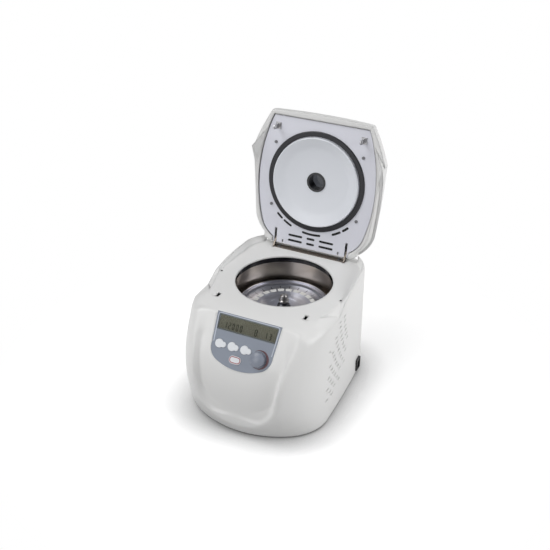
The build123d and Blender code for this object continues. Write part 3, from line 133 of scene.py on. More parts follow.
both = add(tree, "MixShader", {0: seen, 1: dull.outputs[0], 2: shown.outputs[0]})
tree.links.new(both.outputs[0], out.inputs["Surface"])
form = bmesh.new()
bmesh.ops.create_grid(form, x_segments=2, y_segments=2, size=PAPER_SIDE / 2)
mesh = bpy.data.meshes.new("floor")
form.to_mesh(mesh)
form.free()
mesh.materials.append(paper)
floor = bpy.data.objects.new("floor", mesh)
bpy.context.scene.collection.objects.link(floor)

# Air of the tent: white to the camera, and a faint even light on everything else.
# It stands for what the white walls of the tent send back.
AIR_GLOW = 0.17
world = bpy.data.worlds.new("studio_air")
bpy.context.scene.world = world
world.use_nodes = True
tree = world.node_tree
tree.nodes.clear()
out = tree.nodes.new("ShaderNodeOutputWorld")
path = add(tree, "LightPath")
fill = add(tree, "Background", {"Color": colour("FDFDFF"), "Strength": AIR_GLOW})
white = add(tree, "Background", {"Color": colour("FFFFFF"), "Strength": 1.0})
pick = add(tree, "MixShader", {0: path.outputs["Is Camera Ray"], 1: fill.outputs[0], 2: white.outputs[0]})
tree.links.new(pick.outputs[0], out.inputs["Surface"])

# Lamps: square softboxes in metres and watts, all turned to the middle of the machine.
# The key light stands high on the left; the others fill in from the right, the rear and the front.
LAMPS = (
    # name, place, side, watts
    ("key_softbox", (-1.5, -0.6, 2.7), 1.6, 38.0),
    ("right_softbox", (2.6, 0.2, 1.2), 1.6, 42.0),
    ("right_rear_softbox", (2.2, 1.6, 1.6), 1.6, 10.0),
    ("rear_softbox", (0.2, 2.4, 1.8), 1.6, 15.0),
    ("front_softbox", (-0.9, -2.6, 1.5), 2.0, 34.0),
)
LAMPS_AIM = Vector((0, 0, 0.2))
for name, place, side, watts in LAMPS:
    lamp = bpy.data.lights.new(name, "AREA")
    lamp.shape = "SQUARE"
    lamp.size = side
    lamp.energy = watts
    holder = bpy.data.objects.new(name, lamp)
    holder.location = place
    holder.rotation_euler = (LAMPS_AIM - Vector(place)).to_track_quat("-Z", "Y").to_euler()
    bpy.context.scene.collection.objects.link(holder)

# Camera: at the photograph's distance, turn and height, from the fit to its landmarks.
# A plain lens of about 60 mm before a 36 mm wide sensor; it looks at a place given in mm from the
# rotor's axis at floor level.
FRAME_PIXELS = 550
FOCAL_PIXELS = 904.6
SENSOR = 36.0
CAMERA_TURN = math.radians(24.864)
CAMERA_RISE = math.radians(30.550)
CAMERA_ROLL = math.radians(0.724)
CAMERA_DISTANCE = 1898.5 * MM
LOOK_ACROSS, LOOK_BACK, LOOK_UP = -51.25, 66.49, 198.57
rotor_low, rotor_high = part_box("capillary_rotor")
AXIS_Y = (rotor_low.y + rotor_high.y) / 2
aim_at = Vector((LOOK_ACROSS * MM, AXIS_Y + LOOK_BACK * MM, LOOK_UP * MM))
back = Vector((
    math.sin(CAMERA_TURN) * math.cos(CAMERA_RISE),
    -math.cos(CAMERA_TURN) * math.cos(CAMERA_RISE),
    math.sin(CAMERA_RISE),
))
view = bpy.data.cameras.new("camera")
view.sensor_width = SENSOR
view.lens = FOCAL_PIXELS / FRAME_PIXELS * SENSOR
camera = bpy.data.objects.new("camera", view)
camera.location = aim_at + back * CAMERA_DISTANCE
turn = (-back).to_track_quat("-Z", "Y").to_matrix() @ Matrix.Rotation(CAMERA_ROLL, 3, "Z")
camera.rotation_euler = turn.to_euler()
bpy.context.scene.collection.objects.link(camera)
bpy.context.scene.camera = camera
bpy.context.scene.view_settings.view_transform = "Standard"

# Housing: one white ABS moulding with the seat for the lid, the flanks and the sunk tongue.
# It comes from a spark-eroded tool, so it shows a fine satin grain, with broad soft highlights on its
# rounded edges. The foot screws hold it on the base plate.
WELD = 0.002 * MM  # corners closer than this are one
FLAT_DEG = 0.6  # faces that bend less are joined
CREASE_DEG = 32.0  # edges that bend more stay sharp, or are rounded
ROUND_STEPS = 2


def dress(name, finish, edge_mm):
    """Copy of a CAD piece with its corners merged, edges rounded and finish on; it stands for that piece."""
    mesh = cad[name].data.copy()
    form = bmesh.new()
    form.from_mesh(mesh)
    bmesh.ops.remove_doubles(form, verts=form.verts, dist=WELD)
    bmesh.ops.dissolve_degenerate(form, edges=form.edges, dist=WELD)
    bmesh.ops.dissolve_limit(form, angle_limit=math.radians(FLAT_DEG), verts=form.verts, edges=form.edges)
    for face in form.faces:
        face.smooth = True
        face.material_index = 0
    for edge in form.edges:
        edge.smooth = edge.calc_face_angle(math.pi) < math.radians(CREASE_DEG)
    form.to_mesh(mesh)
    form.free()
    mesh.materials.clear()
    mesh.materials.append(finish)
    piece = bpy.data.objects.new("shown_" + name, mesh)
    bpy.context.scene.collection.objects.link(piece)
    if edge_mm > 0:
        round_off = piece.modifiers.new("rounded", "BEVEL")
        round_off.width = edge_mm * MM
        round_off.segments = ROUND_STEPS
        round_off.limit_method = "ANGLE"
        round_off.angle_limit = math.radians(CREASE_DEG)
        round_off.harden_normals = True
    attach(piece, body_of[name])
    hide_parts(name)
    return piece


# How a moulding looks close up: a faint grain, drawn coarser than real so that it shows, and patches
# where handling changed its tone and gloss.
PATCH_MM = 60
PATCH_FROM, PATCH_TO = 0.3, 0.65
GLOSS_LESS, GLOSS_MORE = 0.04, 0.05
GRAIN_STRENGTH = 0.35
PLASTIC_IOR = 1.53


def plastic(name, code, grain_mm, rough, depth_mm=0.02, shift="0A0A0A", round_mm=0.0):
    """Moulded plastic, rubber or paint: grain bump, a slow drift of tone, uneven gloss, softened edges."""
    made, tree, out = material(name)
    place = add(tree, "TexCoord").outputs["Object"]
    fine = add(tree, "TexNoise", {"Vector": place, "Scale": 1 / (grain_mm * MM), "Detail": 2.0})
    slow = add(tree, "TexNoise", {"Vector": place, "Scale": 1 / (PATCH_MM * MM), "Detail": 2.0})
    base = colour(code)
    darker = [max(0.0, a - b) for a, b in zip(base[:3], colour(shift)[:3])] + [1.0]
    tone = add(tree, "ValToRGB", {"Fac": slow.outputs["Fac"]})
    for stop, share, shade in zip(tone.color_ramp.elements, (PATCH_FROM, PATCH_TO), (darker, base)):
        stop.position, stop.color = share, shade
    gloss = add(tree, "MapRange", {
        "Value": slow.outputs["Fac"], "To Min": rough - GLOSS_LESS, "To Max": rough + GLOSS_MORE})
    bump = add(tree, "Bump", {
        "Height": fine.outputs["Fac"], "Strength": GRAIN_STRENGTH, "Distance": depth_mm * MM})
    if round_mm > 0:
        soft = add(tree, "Bevel", {"Radius": round_mm * MM}, samples=6)
        tree.links.new(soft.outputs[0], bump.inputs["Normal"])
    skin = add(tree, "BsdfPrincipled", {
        "Base Color": tone.outputs["Color"], "Roughness": gloss.outputs["Result"],
        "Normal": bump.outputs["Normal"], "IOR": PLASTIC_IOR})
    tree.links.new(skin.outputs[0], out.inputs["Surface"])
    return made


# The flanks swell into a soft lip all along the tongue, and the seat rolls over into them.
# In mm; x counts from the middle, y from the rotor's axis with the front negative, z from the floor.
# Each pair is where something starts and over how much it grows.
FRONT = -62  # behind this nothing moves
TONGUE_HALF, TONGUE_TOP = 104.0, 225  # half its width, at this height
TONGUE_TAPER = 0.15  # what each mm further down takes from that half
TONGUE_LOW = 39.0
TONGUE_CORNER = 46.0
SEAT = 235.0
LIP_HIGH = 5.0
LIP_OUT, LIP_IN = 32.0, 13.0  # reach on either side of the outline
LIP_TOP, LIP_FOOT, LIP_SIDE = (SEAT + 6, 30), (8, 22), (-75, 30)
ROLL_INNER, ROLL_OUTER, ROLL_DEEP, ROLL_FRONT = (70, 22), (140, 10), (46, 22), (-104, 12)
HOOK_SLOT, HOOK_SLOT_LONG, HOOK_SLOT_CLEAR = (92.7, -105.4), 1.6, (9, 8)
ROLL_PULL, ROLL_ROUNDS = 0.5, 40  # share of the way to the neighbours' middle, and how often
EDGE_LIMITS = (24, 12, 6)  # longer edges are halved, in three rounds


def eased(share):
    """Smooth step from 0 to 1."""
    share = min(1.0, max(0.0, share))
    return share * share * (3 - 2 * share)


def into_tongue(x, z):
    """Distance inside the outline of the tongue, seen from the front; negative outside it."""
    half = TONGUE_HALF - TONGUE_TAPER * (TONGUE_TOP - z)
    side, low = half - abs(x), z - TONGUE_LOW
    if side < TONGUE_CORNER and low < TONGUE_CORNER:
        return TONGUE_CORNER - math.hypot(TONGUE_CORNER - side, TONGUE_CORNER - low)
    return min(side, low)


def swell(spot):
    """Moves a place of the front outwards to the lip, never past the CAD's own reach."""
    x, y, z = spot.x / MM, (spot.y - AXIS_Y) / MM, spot.z / MM
    if y > FRONT:
        return spot
    inside = into_tongue(x, z)
    rise = 1 - inside / LIP_IN if inside > 0 else 1 + inside / LIP_OUT
    fade = (eased((LIP_TOP[0] - z) / LIP_TOP[1]) * eased((z - LIP_FOOT[0]) / LIP_FOOT[1])
            * eased((LIP_SIDE[0] - y) / LIP_SIDE[1]))
    y = max(y - LIP_HIGH * eased(rise) * fade, cad_box[0].y / MM - AXIS_Y / MM)
    return Vector((x * MM, y * MM + AXIS_Y, z * MM))


def softness(spot):
    """How far a place of the seat's front edge is rolled over, 0 to 1; the hook slots keep their edge."""
    x, y, z = abs(spot.x / MM), (spot.y - AXIS_Y) / MM, spot.z / MM
    clear = math.hypot(x - HOOK_SLOT[0], (y - HOOK_SLOT[1]) / HOOK_SLOT_LONG)
    return (eased((x - ROLL_INNER[0]) / ROLL_INNER[1]) * eased((ROLL_OUTER[0] - x) / ROLL_OUTER[1])
            * eased((z - SEAT + ROLL_DEEP[0]) / ROLL_DEEP[1])
            * eased((ROLL_FRONT[0] - y) / ROLL_FRONT[1])
            * eased((clear - HOOK_SLOT_CLEAR[0]) / HOOK_SLOT_CLEAR[1]) * ROLL_PULL)


white_abs = plastic("satin_white_abs", "E3E3E2", 0.9, 0.38, round_mm=6.0)
casing = dress("casing", white_abs, 0)
form = bmesh.new()
form.from_mesh(casing.data)
for length in EDGE_LIMITS:
    long_edges = [
        edge for edge in form.edges
        if edge.calc_length() > length * MM and min(v.co.y for v in edge.verts) < AXIS_Y + FRONT * MM]
    bmesh.ops.subdivide_edges(form, edges=long_edges, cuts=1, use_grid_fill=False)
    bmesh.ops.triangulate(form, faces=[face for face in form.faces if len(face.verts) > 3])
for vert in form.verts:
    vert.co = swell(vert.co)
rolled = [(vert, softness(vert.co)) for vert in form.verts]
rolled = [
    (vert, share, [edge.other_vert(vert) for edge in vert.link_edges]) for vert, share in rolled if share > 0]
for turn in range(ROLL_ROUNDS):
    middles = [sum((near.co for near in around), Vector()) / len(around) for vert, share, around in rolled]
    for (vert, share, around), middle in zip(rolled, middles):
        vert.co = vert.co.lerp(middle, share)
for face in form.faces:
    face.smooth = True
for edge in form.edges:
    edge.smooth = edge.calc_face_angle(math.pi) < math.radians(CREASE_DEG)
form.to_mesh(casing.data)
form.free()

# Base plate and rear panel: steel sheet, cut and powder coated in pale grey; the panel has air slots.
# The coat looks even and dull, without metal glint. Both are screwed to the moulding.
powder = plastic("powder_coated_steel", "C9CAC8", 0.6, 0.5)
for name in ("base_plate", "rear_panel"):
    dress(name, powder, 0.3)

# Feet, lid buffers, motor mounts and shaft boot: black nitrile rubber, moulded.
# It looks matt and a little dusty, nearly without highlights. The parts are screwed or pushed in.
rubber = plastic("black_nitrile_rubber", "1A1A1C", 0.7, 0.62, 0.03, "060606")
for name in ("feet", "lid_buffers", "rubber_mounts", "shaft_boot"):
    dress(name, rubber, 0.4)

# Rotor chamber: a bowl deep drawn from stainless steel sheet, screwed by its rim under the opening.
# The drawing rings run round it, so light pulls out into upright streaks on its wall.
# Tool lines are drawn coarser than real, so that they show.
LINE_STRETCH = 25
LINE_FROM, LINE_TO = 0.25, 0.7
LINE_DEPTH = 0.01 * MM
WIPED_MM = 35
SHINE_LESS, SHINE_MORE = 0.05, 0.06
STREAK = 0.8
QUARTER_TURN = 0.25


def metal(name, code, rough, drift, pitch_mm, along, lines=0.35):
    """Worked metal: tool lines at their pitch, round the rotor's axis or along a direction."""
    made, tree, out = material(name)
    place = add(tree, "TexCoord").outputs["Object"]
    middle = add(tree, "Mapping", {"Vector": place, "Location": (0, -AXIS_Y, 0)})
    if along == "round":
        flat = add(tree, "VectorMath", {0: middle.outputs[0], 1: (1, 1, 0)}, operation="MULTIPLY")
        ray = add(tree, "VectorMath", {0: flat.outputs[0]}, operation="LENGTH").outputs["Value"]
        split = add(tree, "SeparateXYZ", {0: middle.outputs[0]})
        key = add(tree, "CombineXYZ", {0: ray, 1: split.outputs[2]}).outputs[0]
        scale = (1 / (pitch_mm * MM), 1 / (pitch_mm * MM), 1)
    else:
        key = middle.outputs[0]
        scale = [1 / (pitch_mm * MM * (LINE_STRETCH if axis in along else 1)) for axis in "xyz"]
    stretched = add(tree, "VectorMath", {0: key, 1: scale}, operation="MULTIPLY")
    marks = add(tree, "TexNoise", {"Vector": stretched.outputs[0], "Scale": 1.0, "Detail": 3.0})
    slow = add(tree, "TexNoise", {"Vector": place, "Scale": 1 / (WIPED_MM * MM), "Detail": 2.0})
    base = colour(code)
    low = [c * (1 - drift) for c in base[:3]] + [1.0]
    tone = add(tree, "ValToRGB", {"Fac": marks.outputs["Fac"]})
    for stop, share, shade in zip(tone.color_ramp.elements, (LINE_FROM, LINE_TO), (low, base)):
        stop.position, stop.color = share, shade
    gloss = add(tree, "MapRange", {
        "Value": slow.outputs["Fac"], "To Min": rough - SHINE_LESS, "To Max": rough + SHINE_MORE})
    bump = add(tree, "Bump", {"Height": marks.outputs["Fac"], "Strength": lines, "Distance": LINE_DEPTH})
    skin = add(tree, "BsdfPrincipled", {
        "Base Color": tone.outputs["Color"], "Metallic": 1.0, "Roughness": gloss.outputs["Result"],
        "Normal": bump.outputs["Normal"]})
    if along == "round":
        round_way = add(tree, "VectorMath", {0: flat.outputs[0], 1: (0, 0, 1)}, operation="CROSS_PRODUCT")
        tree.links.new(round_way.outputs[0], skin.inputs["Tangent"])
        skin.inputs["Anisotropic"].default_value = STREAK
        skin.inputs["Anisotropic Rotation"].default_value = QUARTER_TURN
    tree.links.new(skin.outputs[0], out.inputs["Surface"])
    return made


stainless = metal("deep_drawn_stainless_steel", "BDB5AB", 0.2, 0.12, 0.8, "round")
dress("rotor_bowl", stainless, 0.2)

# Chamber lip: a ring of black EPDM rubber, moulded with a shiny skin.
# It shows a thin bright line of light, and seals the bowl's rim against the underside of the seat.
lip_rubber = plastic("glossy_black_epdm", "131316", 1.2, 0.1, 0.02, "040404")
dress("bowl_gasket", lip_rubber, 0.4)

# Rotor: a dished aluminium disc, turned in one setting and clear anodised, on a dark anodised hub.
# The turning lines give it a sheen that stands in rays. Short dark marks outside the number tabs are
# painted shade of its milled tube slots, and a grey silicone band lies against the rim for the tubes' ends.
PLACES = 24
SLOT_SHADE_IN, SLOT_SHADE_OUT = 68.0 * MM, 78.0 * MM
SLOT_SHADE_HALF_WIDE = 0.6 * MM
ROTOR_SIDES = 128
ROTOR_CREASE_DEG = 28
# Radius and height all round its profile, in mm.
ROTOR_PROFILE = (
    (13, 169), (70, 169), (86, 172), (93, 173), (94, 174), (94, 180), (93, 181), (90, 181), (90, 179),
    (86, 179), (86, 175.5), (84, 175.2), (80, 174.9), (79.4, 174.5), (76, 174.3), (75.4, 174.0),
    (69, 174), (55.5, 174), (53.5, 173), (47, 173), (46.5, 172.7), (45.5, 172.7), (45, 173), (33, 173),
    (32.5, 172.7), (31.5, 172.7), (31, 173), (18, 173), (18, 174), (13, 174), (13, 169))
turned_aluminium = metal("turned_anodised_aluminium", "C9CBCE", 0.3, 0.14, 0.7, "round")
rotor_finish = metal("turned_anodised_rotor", "D2D3DE", 0.36, 0.22, 0.9, "round")
tree = rotor_finish.node_tree
skin = next(node for node in tree.nodes if node.type == "BSDF_PRINCIPLED")
# Painted shade of the tube slots: dark marks at each of the places, between the two radii.
place = add(tree, "TexCoord").outputs["Object"]
spot = add(tree, "VectorMath", {0: place, 1: (0, AXIS_Y, 0)}, operation="SUBTRACT")
split = add(tree, "SeparateXYZ", {0: spot.outputs[0]})
flat = add(tree, "CombineXYZ", {0: split.outputs[0], 1: split.outputs[1]})
ray = add(tree, "VectorMath", {0: flat.outputs[0]}, operation="LENGTH").outputs["Value"]
turn = add(tree, "Math", {0: split.outputs[1], 1: split.outputs[0]}, operation="ARCTAN2")
step = add(tree, "Math", {0: turn.outputs[0], 1: math.pi / PLACES}, operation="PINGPONG")
aside = add(tree, "Math", {0: step.outputs[0], 1: ray}, operation="MULTIPLY")
narrow = add(tree, "Math", {0: aside.outputs[0], 1: SLOT_SHADE_HALF_WIDE}, operation="LESS_THAN")
beyond = add(tree, "Math", {0: ray, 1: SLOT_SHADE_IN}, operation="GREATER_THAN")
within = add(tree, "Math", {0: ray, 1: SLOT_SHADE_OUT}, operation="LESS_THAN")
slot_shade = add(tree, "Math", {0: narrow.outputs[0], 1: beyond.outputs[0]}, operation="MULTIPLY")
slot_shade = add(tree, "Math", {0: slot_shade.outputs[0], 1: within.outputs[0]}, operation="MULTIPLY")
worked = skin.inputs["Base Color"].links[0].from_socket
cut = add(tree, "Mix", {0: slot_shade.outputs[0], 6: worked, 7: colour("4A4B54")}, data_type="RGBA")
tree.links.new(cut.outputs[2], skin.inputs["Base Color"])
form = bmesh.new()
line = [form.verts.new((radius * MM, AXIS_Y, height * MM)) for radius, height in ROTOR_PROFILE]
edges = [form.edges.new(pair) for pair in zip(line, line[1:])]
bmesh.ops.spin(form, geom=line + edges, cent=(0, AXIS_Y, 0), axis=(0, 0, 1), angle=2 * math.pi,
               steps=ROTOR_SIDES, use_merge=True)
bmesh.ops.remove_doubles(form, verts=form.verts, dist=WELD)
bmesh.ops.recalc_face_normals(form, faces=form.faces)
for face in form.faces:
    face.smooth = True
for edge in form.edges:
    edge.smooth = edge.calc_face_angle(math.pi) < math.radians(ROTOR_CREASE_DEG)
mesh = bpy.data.meshes.new("turned_rotor")
form.to_mesh(mesh)
form.free()
mesh.materials.append(rotor_finish)
turned_rotor = bpy.data.objects.new("turned_rotor", mesh)
bpy.context.scene.collection.objects.link(turned_rotor)
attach(turned_rotor, body_of["capillary_rotor"])
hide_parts("capillary_rotor")
dark_hub = metal("dark_anodised_hub", "5A5B60", 0.35, 0.2, 0.7, "round")
dress("rotor_hub", dark_hub, 0.2)
silicone = plastic("grey_silicone_rubber", "7C7D84", 0.7, 0.5)
dress("rotor_gasket", silicone, 0.2)

# Number tabs: small tabs cut from white self-adhesive polyester film, one to a place of the rotor.
# They look flat and dry beside the metal and lie between its slots.
tab_film = plastic("white_printed_film", "F2F2F0", 0.5, 0.45)
dress("number_tabs", tab_film, 0.1)

# Clamp nut: turned brass, nickel plated and polished.
# It shows small hard reflections with hardly a tool line. It clamps the rotor on its hub.
polished = metal("polished_nickel", "A8A6A4", 0.28, 0.05, 0.4, "round", 0.15)
dress("rotor_nut", polished, 0.4)

# Inner works: motor on its posts, lid lock, boards and hinge pin, of zinc-plated steel, black polyamide,
# enamelled steel, green board laminate and turned aluminium, screwed in and mostly out of sight.
# The display module is dressed twice in one place: here as its black case, and below as its glass.
INNER_EDGE_MM = 0.15
zinc = metal("zinc_plated_steel", "A9A9A6", 0.32, 0.12, 0.5, "x")
black_plastic = plastic("black_polyamide", "1C1C1E", 0.6, 0.45, 0.02, "050505")
motor_paint = plastic("black_motor_enamel", "202022", 0.8, 0.35, 0.02, "050505")
laminate = plastic("green_board_laminate", "1E5A34", 0.5, 0.3, 0.01, "050805")
INNER_WORKS = (
    (zinc, ("motor_posts", "motor_plate", "motor_bearings", "motor_shaft", "latch_link", "solenoid_plunger",
            "rotary_encoder", "case_screws", "foot_screws", "hinge_pin")),
    (black_plastic, ("latch_housings", "lock_solenoid", "lid_switch", "lcd_module", "board_capacitors",
                     "hinge_bushes")),
    (motor_paint, ("motor_can", "motor_stator", "motor_magnets")),
    (laminate, ("display_board", "drive_board")),
    (turned_aluminium, ("motor_end_bell",)),
)
for finish, names in INNER_WORKS:
    for name in names:
        dress(name, finish, INNER_EDGE_MM)

# Control panel: grey-blue printed polyester film on a moulded plate, pressed into its recess.
# The film is smooth and half matt. Everything on the panel is placed in its own plane, in mm: across,
# up the slope and out of it, from the middle of the panel's upper end.
PANEL_SLOPE = math.radians(34.2)
GLASS_MID_Y = -20.7
GLASS_UNDER_FACE = 0.7
window_low, window_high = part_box("lcd_window")
panel_up = Vector((0, math.sin(PANEL_SLOPE), math.cos(PANEL_SLOPE)))
panel_out = Vector((0, -math.cos(PANEL_SLOPE), math.sin(PANEL_SLOPE)))
panel_at = (window_low + window_high) / 2 + panel_out * GLASS_UNDER_FACE * MM - panel_up * GLASS_MID_Y * MM
on_panel = Matrix((
    (1, 0, 0, panel_at.x),
    (0, panel_up.y, panel_out.y, panel_at.y),
    (0, panel_up.z, panel_out.z, panel_at.z),
    (0, 0, 0, 1)))
panel_film = plastic("grey_blue_printed_film", "7F8795", 0.5, 0.42, 0.01)
dress("control_panel", panel_film, 0.5)

# Border of the panel: a bead moulded on the plate just inside its edge, rounded at the upper corners.
# It is a lighter grey-blue and catches a thin bright line.
BORDER = (
    (-60.5, -60.0), (-63.4, -9.0), (-62.6, -5.8), (-59.8, -4.6),
    (59.8, -4.6), (62.6, -5.8), (63.4, -9.0), (60.5, -60.0))
BEAD_WIDE = 2.0
BEAD_LOW, BEAD_HIGH = -0.1, 0.3
SAME_SPOT = 0.01


def show(name, form, finish, body):
    """Own piece from a finished bmesh, riding on a body, with its finish on."""
    mesh = bpy.data.meshes.new(name)
    bmesh.ops.recalc_face_normals(form, faces=form.faces)
    form.to_mesh(mesh)
    form.free()
    mesh.materials.append(finish)
    piece = bpy.data.objects.new(name, mesh)
    bpy.context.scene.collection.objects.link(piece)
    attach(piece, body)


def band(name, finish, body, line, width, low, high):
    """Closed or open flat band along a line of panel places, its width a function of the way along."""
    form = bmesh.new()
    closed = (Vector(line[0]) - Vector(line[-1])).length < SAME_SPOT
    path = [Vector(spot) for spot in (line[:-1] if closed else line)]
    rings = []
    for i, spot in enumerate(path):
        before = path[i - 1] if closed or i > 0 else path[i]
        after = path[(i + 1) % len(path)] if closed or i < len(path) - 1 else path[i]
        side = (after - before).orthogonal().normalized() * width(i / (len(path) - 1)) / 2
        corners = [(spot - side, low), (spot + side, low), (spot + side, high), (spot - side, high)]
        rings.append([form.verts.new(on_panel @ (Vector((c.x, c.y, z)) * MM)) for c, z in corners])
    pairs = list(zip(rings, rings[1:] + rings[:1])) if closed else list(zip(rings, rings[1:]))
    for one, two in pairs:
        for k in range(4):
            form.faces.new((one[k], one[(k + 1) % 4], two[(k + 1) % 4], two[k]))
    if not closed:
        form.faces.new(rings[0])
        form.faces.new(rings[-1])
    show(name, form, finish, body)


bead = plastic("light_grey_blue_bead", "B4BBC8", 0.5, 0.35, 0.01)
band("panel_bead", bead, "base", BORDER, lambda share: BEAD_WIDE, BEAD_LOW, BEAD_HIGH)

# Keys: white silicone caps, moulded each with its lobe, satin and softly round at the edge.
# They stand up through the film. The start key carries a printed line in dull dark red.
START_AT = (-8.5, -84.5)
OUTLINE_R = 5.6
OUTLINE_REACH = 5.0
OUTLINE_STEPS = 64
PRINT_WIDE = 1.6
PRINT_LOW, PRINT_HIGH = 0.98, 1.06
key_white = plastic("white_satin_key", "DDE0E4", 0.6, 0.38)
for name in ("key_left", "key_middle", "key_right", "start_key"):
    dress(name, key_white, 0.35)
red_ink = plastic("dark_red_ink", "963642", 0.5, 0.4, 0.01)
outline = []
for i in range(OUTLINE_STEPS + 1):
    turn = 2 * math.pi * i / OUTLINE_STEPS
    shift = OUTLINE_REACH if math.cos(turn) >= 0 else -OUTLINE_REACH
    outline.append((
        START_AT[0] + shift + OUTLINE_R * math.cos(turn), START_AT[1] + OUTLINE_R * math.sin(turn)))
band("start_key_line", red_ink, "start_key", outline, lambda share: PRINT_WIDE,
     PRINT_LOW, PRINT_HIGH)

# Knob: moulded in grey-blue ABS, satin, pushed on the encoder's shaft, domed and round at the edge.
# Under it lies a dark red scale ring of the same plastic that widens to the right.
SCALE_AT = (37.9, -71.4)
SCALE_R = 17.2
SCALE_FROM, SCALE_TURN, SCALE_STEPS = -115, 245, 48
SCALE_THIN, SCALE_SWELL, SCALE_SHARPNESS = 0.5, 4.2, 1.5
SCALE_LOW, SCALE_HIGH = -0.05, 0.4
knob_finish = plastic("grey_blue_satin_knob", "858B98", 0.5, 0.33)
dress("knob", knob_finish, 1.2)
scale_line = []
for i in range(SCALE_STEPS + 1):
    turn = math.radians(SCALE_FROM + SCALE_TURN * i / SCALE_STEPS)
    scale_line.append((SCALE_AT[0] + SCALE_R * math.cos(turn), SCALE_AT[1] + SCALE_R * math.sin(turn)))
crimson = plastic("dark_crimson_abs", "4C1A28", 0.5, 0.4, 0.01)
band("knob_scale_ring", crimson, "base", scale_line,
     lambda share: SCALE_THIN + SCALE_SWELL * math.sin(math.pi * share) ** SCALE_SHARPNESS,
     SCALE_LOW, SCALE_HIGH)

# Display: a liquid-crystal cell of glass, clipped in behind the panel; a painted glow gives it most of its
# light.
# It looks olive grey, cloudy in patches, with a fine dry surface.
CLOUD_MM = 30
CLOUD_FROM, CLOUD_TO = 0.3, 0.7
ETCH_MM = 0.4
ETCH_DEPTH = 0.005 * MM
ETCH_STRENGTH = 0.2
GLASS_ROUGH = 0.4
LCD_PAINTED_GLOW = 0.95
lcd_glass, tree, out = material("olive_liquid_crystal_glass")
place = add(tree, "TexCoord").outputs["Object"]
cloud = add(tree, "TexNoise", {"Vector": place, "Scale": 1 / (CLOUD_MM * MM), "Detail": 2.0})
tone = add(tree, "ValToRGB", {"Fac": cloud.outputs["Fac"]})
for stop, share, code in zip(tone.color_ramp.elements, (CLOUD_FROM, CLOUD_TO), ("4A4A44", "565650")):
    stop.position, stop.color = share, colour(code)
fine = add(tree, "TexNoise", {"Vector": place, "Scale": 1 / (ETCH_MM * MM)})
bump = add(tree, "Bump", {
    "Height": fine.outputs["Fac"], "Strength": ETCH_STRENGTH, "Distance": ETCH_DEPTH})
# The emission is a painted glow, in olive grey, that brightens the cell.
skin = add(tree, "BsdfPrincipled", {
    "Base Color": tone.outputs["Color"], "Roughness": GLASS_ROUGH, "Normal": bump.outputs["Normal"],
    "Emission Color": colour("6F6F69"), "Emission Strength": LCD_PAINTED_GLOW})
tree.links.new(skin.outputs[0], out.inputs["Surface"])
dress("lcd_module", lcd_glass, 0.1)

# Display window: a clear acrylic pane let into the panel, matt on its face, so that it mirrors nothing
# and only tints what lies behind it a little, unevenly where fingers smeared it.
ACRYLIC_IOR = 1.45


def clear_sheet(name, code, smeared, smear_mm, gloss_low, gloss_high, mirror=1.0):
    """Thin clear acrylic: lets light straight through, duller where smeared, and mirrors on its face."""
    made, tree, out = material(name)
    place = add(tree, "TexCoord").outputs["Object"]
    smear = add(tree, "TexNoise", {"Vector": place, "Scale": 1 / (smear_mm * MM), "Detail": 4.0})
    gloss = add(tree, "MapRange", {"Value": smear.outputs["Fac"], "To Min": gloss_low, "To Max": gloss_high})
    tint = add(tree, "ValToRGB", {"Fac": smear.outputs["Fac"]})
    for stop, shown_code in zip(tint.color_ramp.elements, (smeared, code)):
        stop.color = colour(shown_code)
    through = add(tree, "BsdfTransparent", {"Color": tint.outputs["Color"]})
    shine = add(tree, "BsdfGlossy", {"Color": colour("FFFFFF"), "Roughness": gloss.outputs["Result"]})
    share = add(tree, "Fresnel", {"IOR": ACRYLIC_IOR})
    inside = add(tree, "NewGeometry").outputs["Backfacing"]
    outer = add(tree, "Math", {0: 1.0, 1: inside}, operation="SUBTRACT")
    share = add(tree, "Math", {0: share.outputs[0], 1: outer.outputs[0]}, operation="MULTIPLY")
    share = add(tree, "Math", {0: share.outputs[0], 1: mirror}, operation="MULTIPLY")
    skin = add(tree, "MixShader", {0: share.outputs[0], 1: through.outputs[0], 2: shine.outputs[0]})
    tree.links.new(skin.outputs[0], out.inputs["Surface"])
    return made


display_pane = clear_sheet("matt_acrylic_display_window", "F6F6F0", "ECECE6", smear_mm=18,
                           gloss_low=0.05, gloss_high=0.14, mirror=0.0)
dress("lcd_window", display_pane, 0.1)

# Display edge shade and figures: black bars along the glass's edges, which paint the shade of the
# window's recess, and the dark liquid-crystal cells.
# Both look flat and black. The cells show plain figures: speed, minutes and degrees.
# Each bar gives its middle across and up, its width and height and its two depths.
GLASS_TOP = -1.9
EDGE_SHADE_TOP = -1.6
EDGE_SHADE_BARS = (
    (-60.6, -20.7, 2.6, 29.0, GLASS_TOP, EDGE_SHADE_TOP), (60.4, -20.7, 2.8, 29.0, GLASS_TOP, EDGE_SHADE_TOP),
    (0, -34.6, 120.0, 1.0, GLASS_TOP, EDGE_SHADE_TOP), (0, -6.9, 120.0, 0.9, GLASS_TOP, EDGE_SHADE_TOP))
# The seven cells of a figure: middle across and up in half widths and half heights, and whether upright.
CELLS = {
    "a": (0, 1, False), "b": (1, 0.5, True), "c": (1, -0.5, True), "d": (0, -1, False),
    "e": (-1, -0.5, True), "f": (-1, 0.5, True), "g": (0, 0, False)}
LIT = {"0": "abcdef", "1": "bc", "2": "abged", "3": "abgcd", "8": "abcdefg"}
# Each figure with its middle across and its width.
FIGURES = (
    ("1", -45.4, 5.0), ("2", -37.2, 5.0), ("0", -29.2, 5.0), ("0", -21.0, 5.0), ("0", -12.8, 5.0),
    ("8", 18.2, 6.0), ("1", 38.6, 5.2), ("3", 47.8, 5.2))
FIGURE_Y = -25.3
FIGURE_TALL = 13.0
FIGURE_TOP = -1.8
STROKE = 1.7
CELL_GAP = 0.8


